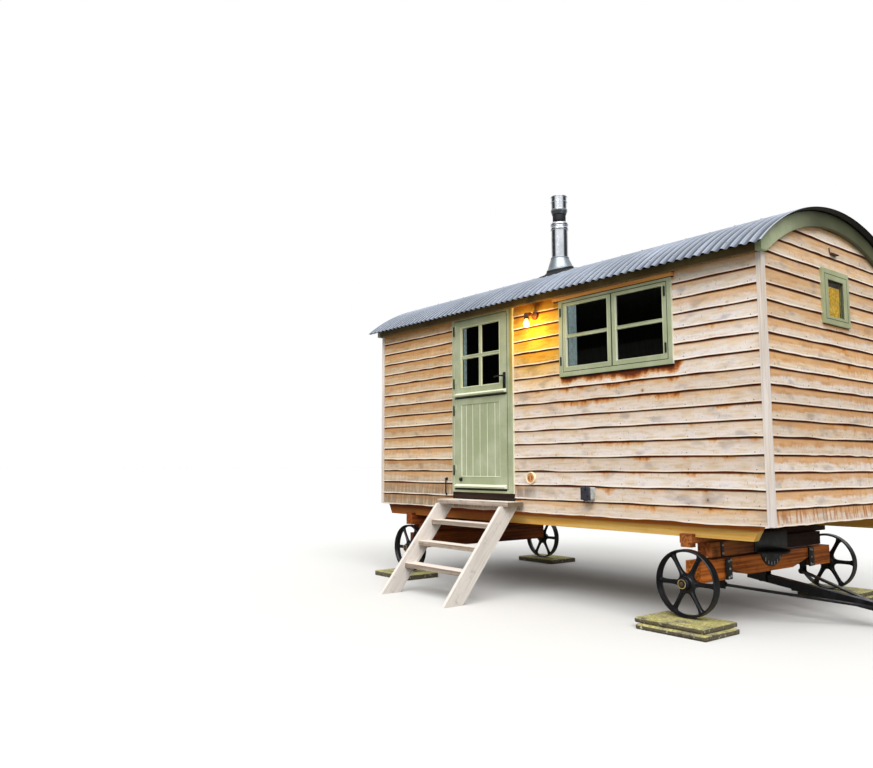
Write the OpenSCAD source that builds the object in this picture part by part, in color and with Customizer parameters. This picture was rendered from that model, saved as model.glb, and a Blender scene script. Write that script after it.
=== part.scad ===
// Shepherds hut on cast iron wheels, with a bow top roof and a timber stair.
// Millimetres. X runs along the hut to the drawbar end, -Y is the door side, Z is up.
// The origin is on the level floor, below the middle of the whole object's box.

/* [Body] */
// Length of the hut over its cladding
body_l = 4880; // [4200:20:5600]
// Width of the hut over its cladding
body_w = 2302; // [2100:2:2500]
// Height of the cladding's lower edge above the ground
clad_z = 800; // [760:5:900]
// Height from the cladding's lower edge to the underside of the roof deck, at the front wall
wall_h = 2012.5; // [1980:0.5:2060]
// Depth that the lapped boards take up outside the wall
clad_t = 22; // [16:1:30]
// Thickness of the wall frame with its lining
wall_t = 100; // [80:2:120]
// Width of each leg of a corner post
post_w = 48; // [40:1:60]
// Height of the finished floor above the cladding's lower edge
floor_h = 150; // [130:2:170]
// Thickness of the floor boards
floor_t = 40; // [25:1:50]
// Width of a floor joist
joist_w = 50; // [38:1:75]
// Number of floor joists
joist_n = 9; // [7:1:11]

/* [Roof] */
// Radius of the arch under the roof deck
arch_r = 1915; // [1880:5:2000]
// Thickness of the roof deck with its lining
deck_t = 102; // [80:2:120]
// Depth of the corrugated sheet
sheet_t = 18; // [14:1:22]
// Reach of the sheet past the cladding at the eaves
eaves_over = 150; // [120:2:180]
// Reach of the sheet past the cladding at each gable
verge_over = 85; // [60:1:110]
// Depth of the curved bargeboard
barge_d = 122; // [100:2:126]
// Drop of the bargeboard below the underside of the deck
barge_drop = 25; // [10:1:40]
// Reach of the bargeboard past the cladding
barge_proud = 30; // [20:1:40]
// Thickness of an eaves board
eaves_t = 25; // [18:1:30]
// Height of an eaves board
eaves_h = 100; // [80:2:110]
// Gap from the cladding to the back of an eaves board
eaves_gap = 24; // [16:1:30]

/* [Doorway] */
// Distance from the middle of the hut to the left side of the door frame
door_x = -1086; // [-1200:2:-1000]
// Width of the door frame
door_w = 926; // [860:2:960]
// Height of the door frame's underside above the cladding's lower edge
door_z = 170; // [160:2:190]
// Visible width of the hinge jamb
hinge_jamb = 31; // [25:1:45]
// Visible width of the latch jamb
latch_jamb = 80; // [60:1:90]
// Height of the head of the door frame
head_h = 30; // [25:1:40]
// Height of the sill of the door frame
sill_h = 39; // [30:1:50]
// Reach of the door and window frames past the cladding
frame_proud = 12; // [6:1:20]
// Reach of the stop behind the leaves
stop_w = 15; // [10:1:20]

/* [Door leaves] */
// Thickness of a leaf
leaf_t = 44; // [38:1:50]
// Height of the lower leaf
lower_h = 948; // [850:2:1000]
// Clearance round the leaves
leaf_gap = 5; // [5:0.5:8]
// Gap between the upper and lower leaves
split_gap = 6; // [5:0.5:10]
// Width of a stile
stile_w = 104; // [90:1:115]
// Height of the upper leaf's top rail
top_rail = 70; // [62:1:90]
// Height of the upper leaf's bottom rail
lock_rail = 98; // [90:1:120]
// Height of the lower leaf's top rail
mid_rail = 75; // [64:1:90]
// Height of the lower leaf's bottom rail
foot_rail = 111; // [100:1:130]
// Depth of the panel below the stiles
panel_in = 10; // [6:1:14]
// Width of a glazing bar
bar_w = 26; // [20:1:34]
// Thickness of the glass
glass_t = 4; // [3:1:6]
// Height of a weather bar
drip_h = 36; // [30:1:44]
// Reach of a weather bar
drip_out = 35; // [25:1:38]
// Distance from the hinge edge to a weather bar
drip_in = 22; // [13:1:26]
// Radius of a hinge knuckle
knuckle_r = 6.5; // [5:0.5:8]
// Height of a hinge
hinge_h = 105; // [80:1:120]

/* [Front window] */
// Distance from the middle of the hut to the left side of the window
win_x = 458; // [400:2:500]
// Width of the window frame
win_w = 1212; // [1100:2:1260]
// Drop from the underside of the deck to the top of the window frame
win_drop = 50.5; // [50:0.5:60]
// Height of the window frame
win_h = 712; // [660:2:720]
// Width of the window frame's sides and sill
win_frame = 40; // [34:1:50]
// Height of the window frame's head
win_head = 28; // [24:1:36]
// Width of a casement's sides and bottom rail
sash_w = 44; // [36:1:50]
// Height of a casement's top rail
sash_top = 30; // [26:1:40]
// Clearance round a casement
sash_gap = 1.5; // [1:0.5:3]
// Thickness of a casement
sash_t = 40; // [36:1:50]
// Height of the board over the window
cap_h = 30; // [20:1:31]
// Reach of that board past the left side of the window
cap_left = 72; // [20:1:80]
// Reach of that board past the right side of the window
cap_right = 22; // [10:1:70]

/* [Gable windows] */
// Width of a gable window's frame
port_w = 468; // [420:2:520]
// Height of a gable window's frame
port_h = 456; // [420:2:500]
// Height of its underside below the underside of the deck at the front wall
port_drop = 436.5; // [420:0.5:470]
// Width of its side members
port_side = 96; // [80:1:104]
// Height of its head
port_head = 86; // [70:1:94]
// Height of its sill
port_sill = 66; // [56:1:80]

/* [Flue] */
// Distance of the flue from the middle of the hut along X
flue_x = -20; // [-100:5:100]
// Distance of the flue from the middle of the hut along Y
flue_y = -601; // [-640:1:-560]
// Radius of the twin wall tube
flue_r = 87; // [78:1:95]
// Height of the top of the flue above the top of the roof
flue_rise = 707; // [600:1:800]
// Radius of the flashing's foot
flash_r = 140; // [120:2:160]
// Height of the flashing's cone above the roof
flash_h = 145; // [120:5:170]

/* [Chassis] */
// Depth of the long chassis rails
rail_h = 117; // [100:1:130]
// Thickness of the long chassis rails
rail_t = 75; // [60:1:90]
// Distance from the cladding to the outer face of a rail
rail_in = 100; // [86:1:110]
// Distance from the left gable to the end of the rails
rail_left = 20; // [20:5:60]
// Distance from the right gable to the end of the rails
rail_right = 150; // [100:5:200]
// Length of the bevel on a rail's end
rail_bevel = 65; // [40:1:80]
// Depth of the front cross bearer under the rails
cross_h = 48; // [40:1:60]
// Width of the cross bearers
cross_w = 110; // [90:1:120]
// Distance from the cladding to the end of the cross bearers
cross_in = 51; // [45:1:70]
// Depth of the rear cross bearer
rear_cross_h = 105; // [60:1:106]
// Height of the lip on a cross bearer's end, outside the rail
cross_lip = 25; // [16:1:40]
// Distance of the front cross bearer behind the front axle
cross_back = 35; // [0:1:45]
// Distance from the cladding to the end of the bolsters
bolster_in = 250; // [220:5:300]

/* [Wheels and axles] */
// Radius of a wheel
wheel_r = 258; // [240:1:264]
// Width of a wheel's rim
rim_w = 76; // [64:1:84]
// Thickness of a wheel's rim
rim_t = 22; // [18:1:28]
// Number of spokes
spoke_n = 6; // [5:1:8]
// Width of a spoke
spoke_w = 50; // [40:1:60]
// Thickness of a spoke
spoke_t = 26; // [20:1:32]
// Radius of the boss that the spokes spring from
boss_r = 76; // [70:1:90]
// Radius of a hub
hub_r = 48; // [40:1:56]
// Reach of a hub past the rim, on each side
hub_out = 22; // [16:1:30]
// Radius of an axle end
stub_r = 22; // [18:1:28]
// Distance from the cladding out to the outer face of a front wheel's rim
wheel_out = 40; // [20:1:60]
// Distance from the cladding in to the outer face of a rear wheel's rim
rear_in = 26; // [10:1:50]
// Distance from the middle of the hut to the front axle
front_x = 1725; // [1600:5:1800]
// Distance from the middle of the hut to the rear axle
rear_x = -1940; // [-2020:5:-1850]
// Width of an axle beam
beam_w = 130; // [110:2:150]
// Height of an axle beam
beam_h = 166; // [150:2:170]
// Distance from the cladding to the end of an axle beam
beam_in = 85; // [80:1:100]
// Length of the square block at each end of the front beam
block_l = 360; // [300:5:400]
// Height of the front beam's belly above the underside of its end blocks
belly_low = 14; // [12:1:40]
// Rise of the front beam's underside beside its belly
belly_rise = 95; // [60:5:110]
// Length of the belly's slope
belly_run = 340; // [250:5:400]
// Radius of the turntable plates
table_r = 210; // [180:5:240]
// Thickness of a turntable plate
table_t = 10; // [8:1:14]
// Radius of the kingpin
king_r = 20; // [16:1:24]
// Radius of the half round plate on the front beam
quad_r = 200; // [180:1:215]
// Height of that plate's centre above the front beam
quad_up = 85; // [70:1:100]
// Thickness of the brackets at the ends of the belly
strap_t = 12; // [8:1:14]
// Width of those brackets
strap_w = 56; // [44:1:60]

/* [Drawbar] */
// Side of the square bar
tow_s = 65; // [50:1:70]
// Length from the pivot to the end of the square bar
tow_l = 1830; // [1500:10:2000]
// Distance from the end of the square bar to the centre of the towing eye
eye_out = 70; // [60:1:120]
// Radius of the towing eye
eye_r = 45; // [38:1:50]
// Radius of the hole in the towing eye
eye_hole = 22; // [18:1:25]
// Thickness of the towing eye
eye_t = 30; // [24:1:34]
// Height of the pivot above the ground
tow_z = 285; // [275:1:290]
// Radius of the pivot pins
tow_pin = 12; // [10:1:14]
// Length of the bar behind the pivot
tow_back = 145; // [100:5:200]
// Thickness of an ear
ear_t = 10; // [8:1:14]
// Width of an ear
ear_w = 60; // [50:1:70]
// Reach of an ear below its pin's centre
ear_low = 30; // [26:1:36]
// Gap from the square bar to its ears
ear_gap = 5.5; // [5:0.5:8]
// Distance from the middle to a stay's rear eye
stay_y = 640; // [600:5:660]
// Distance along the bar to the stays' joint
stay_l = 960; // [800:10:1100]
// Gap from the middle of a stay's eye to its ear
stay_side = 30; // [26:1:36]
// Thickness of a stay
stay_t = 16; // [12:1:20]

/* [Stair] */
// Width of the stair over its stringers
stair_w = 990; // [900:5:1040]
// Distance from the middle of the hut to the stair's left side
stair_x = -1090; // [-1100:2:-1060]
// Thickness of a stringer
string_t = 38; // [32:1:45]
// Width of a stringer measured level
string_w = 224; // [200:2:228]
// Slope of the stair from the level
stair_slope = 50.7; // [48:0.1:54]
// Height of the top tread above the cladding's lower edge
tread_top = 98; // [80:2:110]
// Thickness of a tread
tread_t = 42; // [36:1:48]
// Rise from tread to tread
rise = 206; // [190:1:215]
// Depth of a lower tread
tread_d = 150; // [130:2:160]
// Distance from a stringer's front edge to a lower tread
tread_in = 48; // [40:1:60]
// Depth of the top tread
top_tread_d = 205; // [190:1:215]
// Gap from the cladding to the top of the stair
stair_gap = 12; // [8:1:16]

/* [Slabs under the wheels] */
// Length of a slab along the hut
pad_l = 600; // [560:10:650]
// Width of a slab
pad_w = 450; // [400:10:480]
// Thickness of each of the two slabs under a front wheel
pad_t = 40; // [35:1:42]
// Thickness of the slab under a rear wheel
rear_pad_t = 55; // [45:1:65]
// Distance that the lower slab stands out from the upper one
pad_shift = 40; // [30:2:60]
// Distance from the wheel's middle out to the middle of its slab
pad_out = 62; // [40:2:80]
// Distance along the hut from the wheel's middle to the middle of its slab
pad_x = 12; // [0:2:30]
// Gap from the upper slab to the wheel
pad_gap = 0.4; // [0.3:0.1:0.6]

/* [Fittings] */
// Distance from the middle of the hut to the wall lamp
lamp_x = 146; // [110:1:170]
// Drop from the underside of the deck to the lamp's arm
lamp_drop = 138.5; // [120:0.5:170]
// Distance from the cladding to the middle of the lamp's glass
lamp_out = 117; // [90:1:140]
// Radius of the lamp's glass
lamp_r = 34; // [28:1:40]
// Drop from the arm to the lowest point of the glass
glass_drop = 172; // [140:1:190]
// Distance from the middle of the hut to the vent
vent_x = 64; // [20:2:120]
// Height of the vent above the cladding's lower edge
vent_z = 326; // [300:2:360]
// Distance from the middle of the hut to the socket box
socket_x = 781; // [740:1:820]
// Height of the socket box above the cladding's lower edge
socket_z = 199; // [180:1:240]

/* [Hidden] */
$fn = 96;
// Gap where a curved face meets a flat piece
seat = 0.3;
// Running clearance of a pin in its hole
run = 0.08;
half_l = body_l / 2;
half_w = body_w / 2;
// Outer and inner faces of the walls
wall_y = half_w - clad_t;
wall_x = half_l - clad_t;
room_y = wall_y - wall_t;
room_x = wall_x - wall_t;
arch_z = clad_z + wall_h - sqrt(pow(arch_r, 2) - pow(half_w, 2));
arch_top = arch_z + arch_r;
deck_r = arch_r + deck_t;
sheet_r = deck_r + sheet_t;
win_z = wall_h - win_drop - win_h;
port_z = wall_h - port_drop;
eaves_y = half_w + eaves_gap;
sheet_y = half_w + eaves_over;
sheet_x = half_l + verge_over;
barge_r = arch_r - barge_drop;
// Top and bottom of the eaves boards, which also stop the bargeboards and the corner posts
eaves_z1 = arch_z + sqrt(pow(deck_r, 2) - pow(eaves_y + eaves_t, 2)) - 2;
eaves_z0 = eaves_z1 - eaves_h;
// Planes of the frames on the front wall
frame_y = half_w + frame_proud;
leaf_y = frame_y - 3;
// Doorway between the jambs, in a frame that runs up to the deck
door_h = wall_h - door_z;
leaf_x0 = door_x + hinge_jamb + leaf_gap;
leaf_x1 = door_x + door_w - latch_jamb - leaf_gap;
lower_z0 = clad_z + door_z + sill_h + leaf_gap;
lower_z1 = lower_z0 + lower_h;
upper_z0 = lower_z1 + split_gap;
upper_z1 = clad_z + door_z + door_h - head_h - leaf_gap;
hinge_x = leaf_x0 - leaf_gap / 2;
hinge_y = frame_y + knuckle_r + 0.5;
hinge_inset = 45;
hinge_leaf = 24;
hinge_zs = [
    lower_z0 + hinge_inset + 85, lower_z1 - hinge_inset - hinge_h - 40,
    upper_z0 + hinge_inset + 48, upper_z1 - hinge_inset - hinge_h
];
// Wheels
wheel_z = 2 * pad_t + pad_gap + wheel_r;
wheel_y = half_w + wheel_out - rim_w / 2;
rear_wheel_z = rear_pad_t + pad_gap + wheel_r;
rear_wheel_y = half_w - rear_in - rim_w / 2;
rear_beam_y = rear_wheel_y - rim_w / 2 - hub_out - 7;
rail_z = clad_z - rail_h;
cross_z = rail_z - cross_h;
beam_z1 = wheel_z + beam_h - 4;
beam_z0 = beam_z1 - beam_h;
rear_beam_z1 = rear_wheel_z + beam_h - 4;
belly_z = beam_z0 + belly_low;
beam_y = half_w - beam_in;
table_z = beam_z1;
bolster_z0 = table_z + 2 * table_t + seat;
// Underside of the front beam's belly at a distance from its middle
function belly(y) = belly_z + (belly_rise - belly_low) * (y - beam_y + block_l + belly_run) / belly_run;
eye_l = tow_l + eye_out;
// Rest slope of the drawbar, with the end of its square bar on the ground
tow_h = tow_s / 2;
tow_slope = asin(tow_z / sqrt(tow_l * tow_l + tow_h * tow_h)) - atan(tow_h / tow_l);
// Stair
run_per_mm = cos(stair_slope) / sin(stair_slope);
tread_z = clad_z + tread_top;
string_top = tread_z - tread_t;
string_back = half_w + stair_gap;
string_front = string_back + string_w;
foot_front = string_front + string_top * run_per_mm;
// Box of the whole object, which sets the origin
x_min = -sheet_x;
x_max = front_x + eye_l * cos(tow_slope) + eye_r * cos(tow_slope) + eye_t / 2 * sin(tow_slope);
y_min = -foot_front;
y_max = max(sheet_y, wheel_y + pad_out + pad_shift + pad_w / 2);
mid_x = (x_min + x_max) / 2;
mid_y = (y_min + y_max) / 2;

// Colours
oak = "burlywood";
stained = "peru";
green = "darkseagreen";
iron = "dimgray";
weathered = "gainsboro";
steel = "lightsteelblue";
clear = "lightblue";

// Moves what is drawn from the hut's own middle to the origin of the whole object
module place() {
    translate([-mid_x, -mid_y, 0]) children();
}

// Box from its two corners
module block(x0, x1, y0, y1, z0, z1) {
    translate([x0, y0, z0]) cube([x1 - x0, y1 - y0, z1 - z0]);
}

// Copies a piece to both sides of the hut
module both_sides() {
    children();
    mirror([0, 1, 0]) children();
}

// Copies a piece to both ends of the hut
module both_ends() {
    children();
    mirror([1, 0, 0]) children();
}

// Cylinder along X round the arch's centre line
module arch_cylinder(r, half) {
    translate([-half, 0, arch_z]) rotate([0, 90, 0]) cylinder(r = r, h = 2 * half, $fn = 360);
}

// Trims a wall where the roof deck rests on it
module under_arch() {
    intersection() {
        children();
        arch_cylinder(arch_r - seat, half_l + 200);
    }
}

// Shell of the roof between two radii, cut upright at the eaves
module roof_shell(r0, r1, x0, x1, y) {
    intersection() {
        difference() {
            translate([x0, 0, arch_z]) rotate([0, 90, 0]) cylinder(r = r1, h = x1 - x0, $fn = 360);
            translate([x0 - 1, 0, arch_z]) rotate([0, 90, 0])
                cylinder(r = r0, h = x1 - x0 + 2, $fn = 360);
        }
        block(x0 - 1, x1 + 1, -y, y, arch_z, arch_z + 2 * r1);
    }
}

// Upright frame facing -Y, from its outer size and its four member widths
module ring(x, w, z, h, left, right, low, high, y0, y1) {
    difference() {
        block(x, x + w, y0, y1, z, z + h);
        block(x + left, x + w - right, y0 - 1, y1 + 1, z + low, z + h - high);
    }
}

module floor_deck() {
    color(oak) place() {
        block(-room_x, room_x, -room_y, room_y, clad_z + floor_h - floor_t, clad_z + floor_h);
    }
}

module floor_joists() {
    pitch = (2 * room_x - joist_w) / (joist_n - 1);
    color(stained) place() {
        for (i = [0 : joist_n - 1])
            block(-room_x + i * pitch, -room_x + i * pitch + joist_w, -room_y, room_y,
                clad_z, clad_z + floor_h - floor_t);
    }
}

// Long rail with a bevelled end under each gable
module chassis_rails() {
    y0 = half_w - rail_in - rail_t;
    x0 = -half_l + rail_left;
    x1 = half_l - rail_right;
    color(stained) place() {
        both_sides()
            translate([0, -y0, 0]) rotate([90, 0, 0]) linear_extrude(rail_t)
                polygon([[x0, clad_z], [x0 + rail_bevel, rail_z], [x1 - rail_bevel, rail_z], [x1, clad_z]]);
    }
}

// Cross bearer under both rails, with a lip that stops each rail, round its own middle
module cross_bearer(h) {
    y = half_w - cross_in;
    block(-cross_w / 2, cross_w / 2, -y, y, rail_z - h, rail_z);
    both_sides() block(-cross_w / 2, cross_w / 2, -y, -half_w + rail_in, rail_z - 1, rail_z + cross_lip);
}

// Front wall, in pieces round the doorway
module front_slab(x0, x1, z0, z1) {
    block(x0, x1, -wall_y, -room_y, z0, z1);
}

module front_wall_left() {
    color(oak) place() under_arch() front_slab(-wall_x, door_x, clad_z, arch_top);
}

module front_wall_under_door() {
    color(oak) place() front_slab(door_x, door_x + door_w, clad_z, clad_z + door_z);
}

module front_wall_over_door() {
    color(oak) place() under_arch()
        front_slab(door_x, door_x + door_w, clad_z + wall_h, arch_top);
}

module front_wall_right() {
    color(oak) place() under_arch() difference() {
        front_slab(door_x + door_w, wall_x, clad_z, arch_top);
        block(win_x, win_x + win_w, -wall_y - 1, -room_y + 1, clad_z + win_z, clad_z + win_z + win_h);
    }
}

module back_wall() {
    color(oak) place() under_arch() block(-wall_x, wall_x, room_y, wall_y, clad_z, arch_top);
}

// Gable wall at the right end, with its window cut through
module gable_wall() {
    under_arch() difference() {
        block(room_x, wall_x, -room_y, room_y, clad_z, arch_top);
        block(room_x - 1, wall_x + 1, -port_w / 2, port_w / 2, clad_z + port_z, clad_z + port_z + port_h);
    }
}

module right_gable_wall() {
    color(oak) place() gable_wall();
}

module left_gable_wall() {
    color(oak) place() mirror([1, 0, 0]) gable_wall();
}

// Corner posts stand outside the wall frame and stop the boards
module corner_posts() {
    color(oak) place() {
        both_ends() both_sides() difference() {
            block(half_l - post_w, half_l, -half_w, -half_w + post_w, clad_z, eaves_z0);
            block(half_l - post_w - 1, wall_x, -wall_y, -half_w + post_w + 1, clad_z - 1, eaves_z0 + 1);
        }
    }
}

module roof_deck() {
    color(oak) place() roof_shell(arch_r, deck_r, -wall_x, wall_x, eaves_y);
}

module roof_sheet() {
    color(steel) place() roof_shell(deck_r + seat, sheet_r, -sheet_x, sheet_x, sheet_y);
}

// Curved board over a gable, cut level with the eaves boards
module bargeboard() {
    y = eaves_y + eaves_t;
    intersection() {
        roof_shell(barge_r, barge_r + barge_d, wall_x, half_l + barge_proud, y);
        block(wall_x - 1, half_l + barge_proud + 1, -y - 1, y + 1, eaves_z0, arch_z + deck_r);
    }
}

module bargeboards() {
    color(green) place() both_ends() bargeboard();
}

// Boards that close the edge of the deck at the eaves
module eaves_boards() {
    color(green) place() {
        both_sides() block(-wall_x, wall_x, -eaves_y - eaves_t, -eaves_y, eaves_z0, eaves_z1);
    }
}

// Door frame with a stop behind the leaves
module door_frame() {
    x = door_x;
    z = clad_z + door_z;
    stop_y = leaf_y - leaf_t - leaf_gap;
    color(green) place() {
        under_arch() {
            ring(x, door_w, z, door_h, hinge_jamb, latch_jamb, sill_h, head_h, -frame_y, -stop_y);
            ring(x, door_w, z, door_h, hinge_jamb + stop_w, latch_jamb + stop_w, sill_h + stop_w,
                head_h + stop_w, -stop_y, -room_y);
        }
        for (hinge_z = hinge_zs) half_hinge(hinge_z, hinge_z + hinge_h / 2, -1, frame_y);
    }
}

// Half hinge: a knuckle and the plate that carries it, on the frame (side -1) or the leaf (1)
module half_hinge(z0, z1, side, face) {
    translate([hinge_x, -hinge_y, z0]) cylinder(r = knuckle_r, h = z1 - z0, $fn = 32);
    x0 = side < 0 ? hinge_x - hinge_leaf : hinge_x;
    block(x0, x0 + hinge_leaf, -frame_y - 2, -face, z0, z1);
}

// The leaf's halves stand on the pintles
module leaf_hinges(zs) {
    for (z = zs) half_hinge(z + hinge_h / 2 + seat, z + hinge_h, 1, leaf_y);
}

// Sloped bar that throws rain off a leaf
module weather_bar(z) {
    x0 = leaf_x0 + drip_in;
    translate([x0, -leaf_y, z]) rotate([90, 0, 90]) linear_extrude(leaf_x1 - leaf_x0 - drip_in - 10)
        polygon([[0, 0], [-drip_out, 0], [-drip_out, drip_h * 0.45], [0, drip_h]]);
}

module lower_leaf() {
    color(green) place() {
        difference() {
            block(leaf_x0, leaf_x1, -leaf_y, -leaf_y + leaf_t, lower_z0, lower_z1);
            block(leaf_x0 + stile_w, leaf_x1 - stile_w, -leaf_y - 1, -leaf_y + panel_in,
                lower_z0 + foot_rail, lower_z1 - mid_rail);
        }
        weather_bar(lower_z0 + 2);
        leaf_hinges([hinge_zs[0], hinge_zs[1]]);
    }
}

module upper_leaf() {
    w = leaf_x1 - leaf_x0 - 2 * stile_w;
    z0 = upper_z0 + lock_rail;
    z1 = upper_z1 - top_rail;
    color(green) place() {
        ring(leaf_x0, leaf_x1 - leaf_x0, upper_z0, upper_z1 - upper_z0, stile_w, stile_w,
            lock_rail, top_rail, -leaf_y, -leaf_y + leaf_t);
        for (y = [-leaf_y + 8, -leaf_y + leaf_t / 2 + glass_t / 2]) {
            block(leaf_x0 + stile_w + w / 2 - bar_w / 2, leaf_x0 + stile_w + w / 2 + bar_w / 2,
                y, y + leaf_t / 2 - 8 - glass_t / 2, z0, z1);
            block(leaf_x0 + stile_w, leaf_x1 - stile_w, y, y + leaf_t / 2 - 8 - glass_t / 2,
                (z0 + z1) / 2 - bar_w / 2, (z0 + z1) / 2 + bar_w / 2);
        }
        weather_bar(upper_z0 + 2);
        leaf_hinges([hinge_zs[2], hinge_zs[3]]);
    }
}

module upper_leaf_glass() {
    color(clear) place()
        block(leaf_x0 + stile_w, leaf_x1 - stile_w, -leaf_y + leaf_t / 2 - glass_t / 2,
            -leaf_y + leaf_t / 2 + glass_t / 2, upper_z0 + lock_rail, upper_z1 - top_rail);
}

// Backplate, spindle and lever on the upper leaf's latch stile
module door_handle() {
    x = leaf_x1 - 33;
    z0 = upper_z0 + 42;
    z1 = z0 + 160;
    lever_z = z0 + 122;
    color(iron) place() {
        block(x - 19, x + 19, -leaf_y - 6, -leaf_y, z0, z1);
        translate([x, -leaf_y - 5, lever_z]) rotate([90, 0, 0]) cylinder(r = 9, h = 45, $fn = 32);
        translate([x - 100, -leaf_y - 50, lever_z - 9]) cube([109, 12, 18]);
    }
}

// Window frame with a rebate that the casements close against
module window_frame() {
    z = clad_z + win_z;
    rebate_y = frame_y - 3 - sash_t;
    inner = win_frame + 12;
    color(green) place() {
        ring(win_x, win_w, z, win_h, win_frame, win_frame, win_frame, win_head, -frame_y, -rebate_y);
        ring(win_x, win_w, z, win_h, inner, inner, inner, win_head + 12, -rebate_y, -room_y);
    }
}

// Two casements side by side, each with one level glazing bar
module window_casements() {
    x0 = win_x + win_frame + sash_gap;
    w = (win_w - 2 * win_frame - 3 * sash_gap) / 2;
    z0 = clad_z + win_z + win_frame + sash_gap;
    h = win_h - win_frame - win_head - 2 * sash_gap;
    bar_z = z0 + (h + sash_w - sash_top) / 2;
    color(green) place() {
        for (i = [0, 1]) {
            x = x0 + i * (w + sash_gap);
            ring(x, w, z0, h, sash_w, sash_w, sash_w, sash_top, -frame_y + 3, -frame_y + 3 + sash_t);
            block(x + sash_w, x + w - sash_w, -frame_y + 8, -frame_y + 3 + sash_t / 2 - glass_t / 2,
                bar_z - bar_w / 2, bar_z + bar_w / 2);
        }
    }
}

module window_glass() {
    x0 = win_x + win_frame + sash_gap;
    w = (win_w - 2 * win_frame - 3 * sash_gap) / 2;
    z0 = clad_z + win_z + win_frame + sash_gap + sash_w;
    z1 = clad_z + win_z + win_h - win_head - sash_gap - sash_top;
    y = -frame_y + 3 + sash_t / 2;
    color(clear) place() {
        for (i = [0, 1]) {
            x = x0 + i * (w + sash_gap);
            block(x + sash_w, x + w - sash_w, y - glass_t / 2, y + glass_t / 2, z0, z1);
        }
        both_ends() block(half_l - 10, half_l - 10 + glass_t, -port_w / 2 + port_side,
            port_w / 2 - port_side, clad_z + port_z + port_sill, clad_z + port_z + port_h - port_head);
    }
}

// Oak board that sheds rain over the window
module window_cap() {
    z = clad_z + win_z + win_h;
    color(oak) place()
        block(win_x - cap_left, win_x + win_w + cap_right, -eaves_y + 1, -wall_y, z, z + cap_h);
}

module gable_window_frames() {
    z = clad_z + port_z;
    color(green) place() {
        both_ends() difference() {
            block(room_x, half_l + frame_proud, -port_w / 2, port_w / 2, z, z + port_h);
            block(room_x - 1, half_l + frame_proud + 1, -port_w / 2 + port_side, port_w / 2 - port_side,
                z + port_sill, z + port_h - port_head);
        }
    }
}

// Lamp on the wall: plate, arm and a glass that hangs from the holder
module wall_lamp() {
    out = clad_t + lamp_out;
    color(iron) place() translate([lamp_x, -wall_y, clad_z + wall_h - lamp_drop]) {
        rotate([90, 0, 0]) cylinder(r = lamp_r + 4, h = clad_t + 14, $fn = 48);
        rotate([90, 0, 0]) cylinder(r = lamp_r / 4, h = out, $fn = 24);
        translate([0, -out, -46]) cylinder(r = lamp_r * 0.7, h = 62, $fn = 36);
        translate([0, -out, -glass_drop + lamp_r]) cylinder(r = lamp_r, h = glass_drop - lamp_r - 40, $fn = 48);
        translate([0, -out, -glass_drop + lamp_r]) sphere(r = lamp_r, $fn = 48);
    }
}

module vent_ring() {
    color(oak) place() translate([vent_x, -wall_y, clad_z + vent_z]) rotate([90, 0, 0]) difference() {
        cylinder(r = 52, h = clad_t + 12, $fn = 64);
        translate([0, 0, clad_t]) cylinder(r = 28, h = 13, $fn = 48);
    }
}

// Weatherproof outlet with its lid
module socket_box() {
    color(iron) place() translate([socket_x, -wall_y, clad_z + socket_z]) {
        block(-50, 54, -clad_t - 52, 0, -54, 54);
        block(-53, 53, -clad_t - 70, -clad_t - 52, -56, 56);
        for (x = [-22, 22])
            translate([x, -clad_t - 26, -74]) cylinder(r = 13, h = 30, $fn = 32);
    }
}

// Cone that seals the tube where it passes through the roof
module flue_flashing() {
    roof_z = arch_z + sqrt(pow(sheet_r, 2) - pow(flue_y, 2));
    color("silver") place() difference() {
        translate([flue_x, flue_y, roof_z - 70]) union() {
            cylinder(r = flash_r, h = 70, $fn = 96);
            translate([0, 0, 70]) cylinder(r1 = flash_r, r2 = flue_r + 6, h = flash_h, $fn = 96);
        }
        translate([flue_x, flue_y, roof_z - 200]) cylinder(r = flue_r, h = 200 + flash_h + 1, $fn = 96);
        arch_cylinder(sheet_r + seat, half_l);
    }
}

// Twin wall tube with a joint band, and the cowl over its dark throat
module flue_tube() {
    roof_z = arch_z + sqrt(pow(sheet_r, 2) - pow(flue_y, 2));
    top = arch_z + sheet_r + flue_rise;
    color("silver") place() translate([flue_x, flue_y, 0]) difference() {
        union() {
            translate([0, 0, roof_z - 60]) cylinder(r = flue_r, h = top - 366 - roof_z + 60, $fn = 96);
            translate([0, 0, top - 366]) cylinder(r = flue_r + 5, h = 34, $fn = 96);
            translate([0, 0, top - 332]) cylinder(r = flue_r + 1, h = 14, $fn = 96);
            translate([0, 0, top - 318]) cylinder(r = flue_r + 5, h = 30, $fn = 96);
            translate([0, 0, top - 288]) cylinder(r1 = flue_r, r2 = 68, h = 20, $fn = 96);
            translate([0, 0, top - 268]) cylinder(r = 66, h = 70, $fn = 96);
            translate([0, 0, top - 198]) cylinder(r1 = 70, r2 = flue_r, h = 50, $fn = 96);
            translate([0, 0, top - 148]) cylinder(r = flue_r - 5, h = 148, $fn = 96);
            for (z = [-148, -69, -12])
                translate([0, 0, top + z]) cylinder(r = flue_r - 1, h = 10, $fn = 96);
        }
        translate([0, 0, -60]) arch_cylinder(sheet_r + seat + 60, half_l);
        translate([0, 0, top - 700]) cylinder(r = 56, h = 701, $fn = 72);
    }
}

// Sloping side of the stair, drawn in the plane across the hut
module stair_stringers() {
    color(weathered) place() {
        for (x = [stair_x, stair_x + stair_w - string_t])
            translate([x, 0, 0]) rotate([90, 0, 90]) linear_extrude(string_t)
                polygon([[-string_back, string_top], [-string_front, string_top],
                    [-foot_front, 0], [-foot_front + string_w, 0]]);
    }
}

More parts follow.
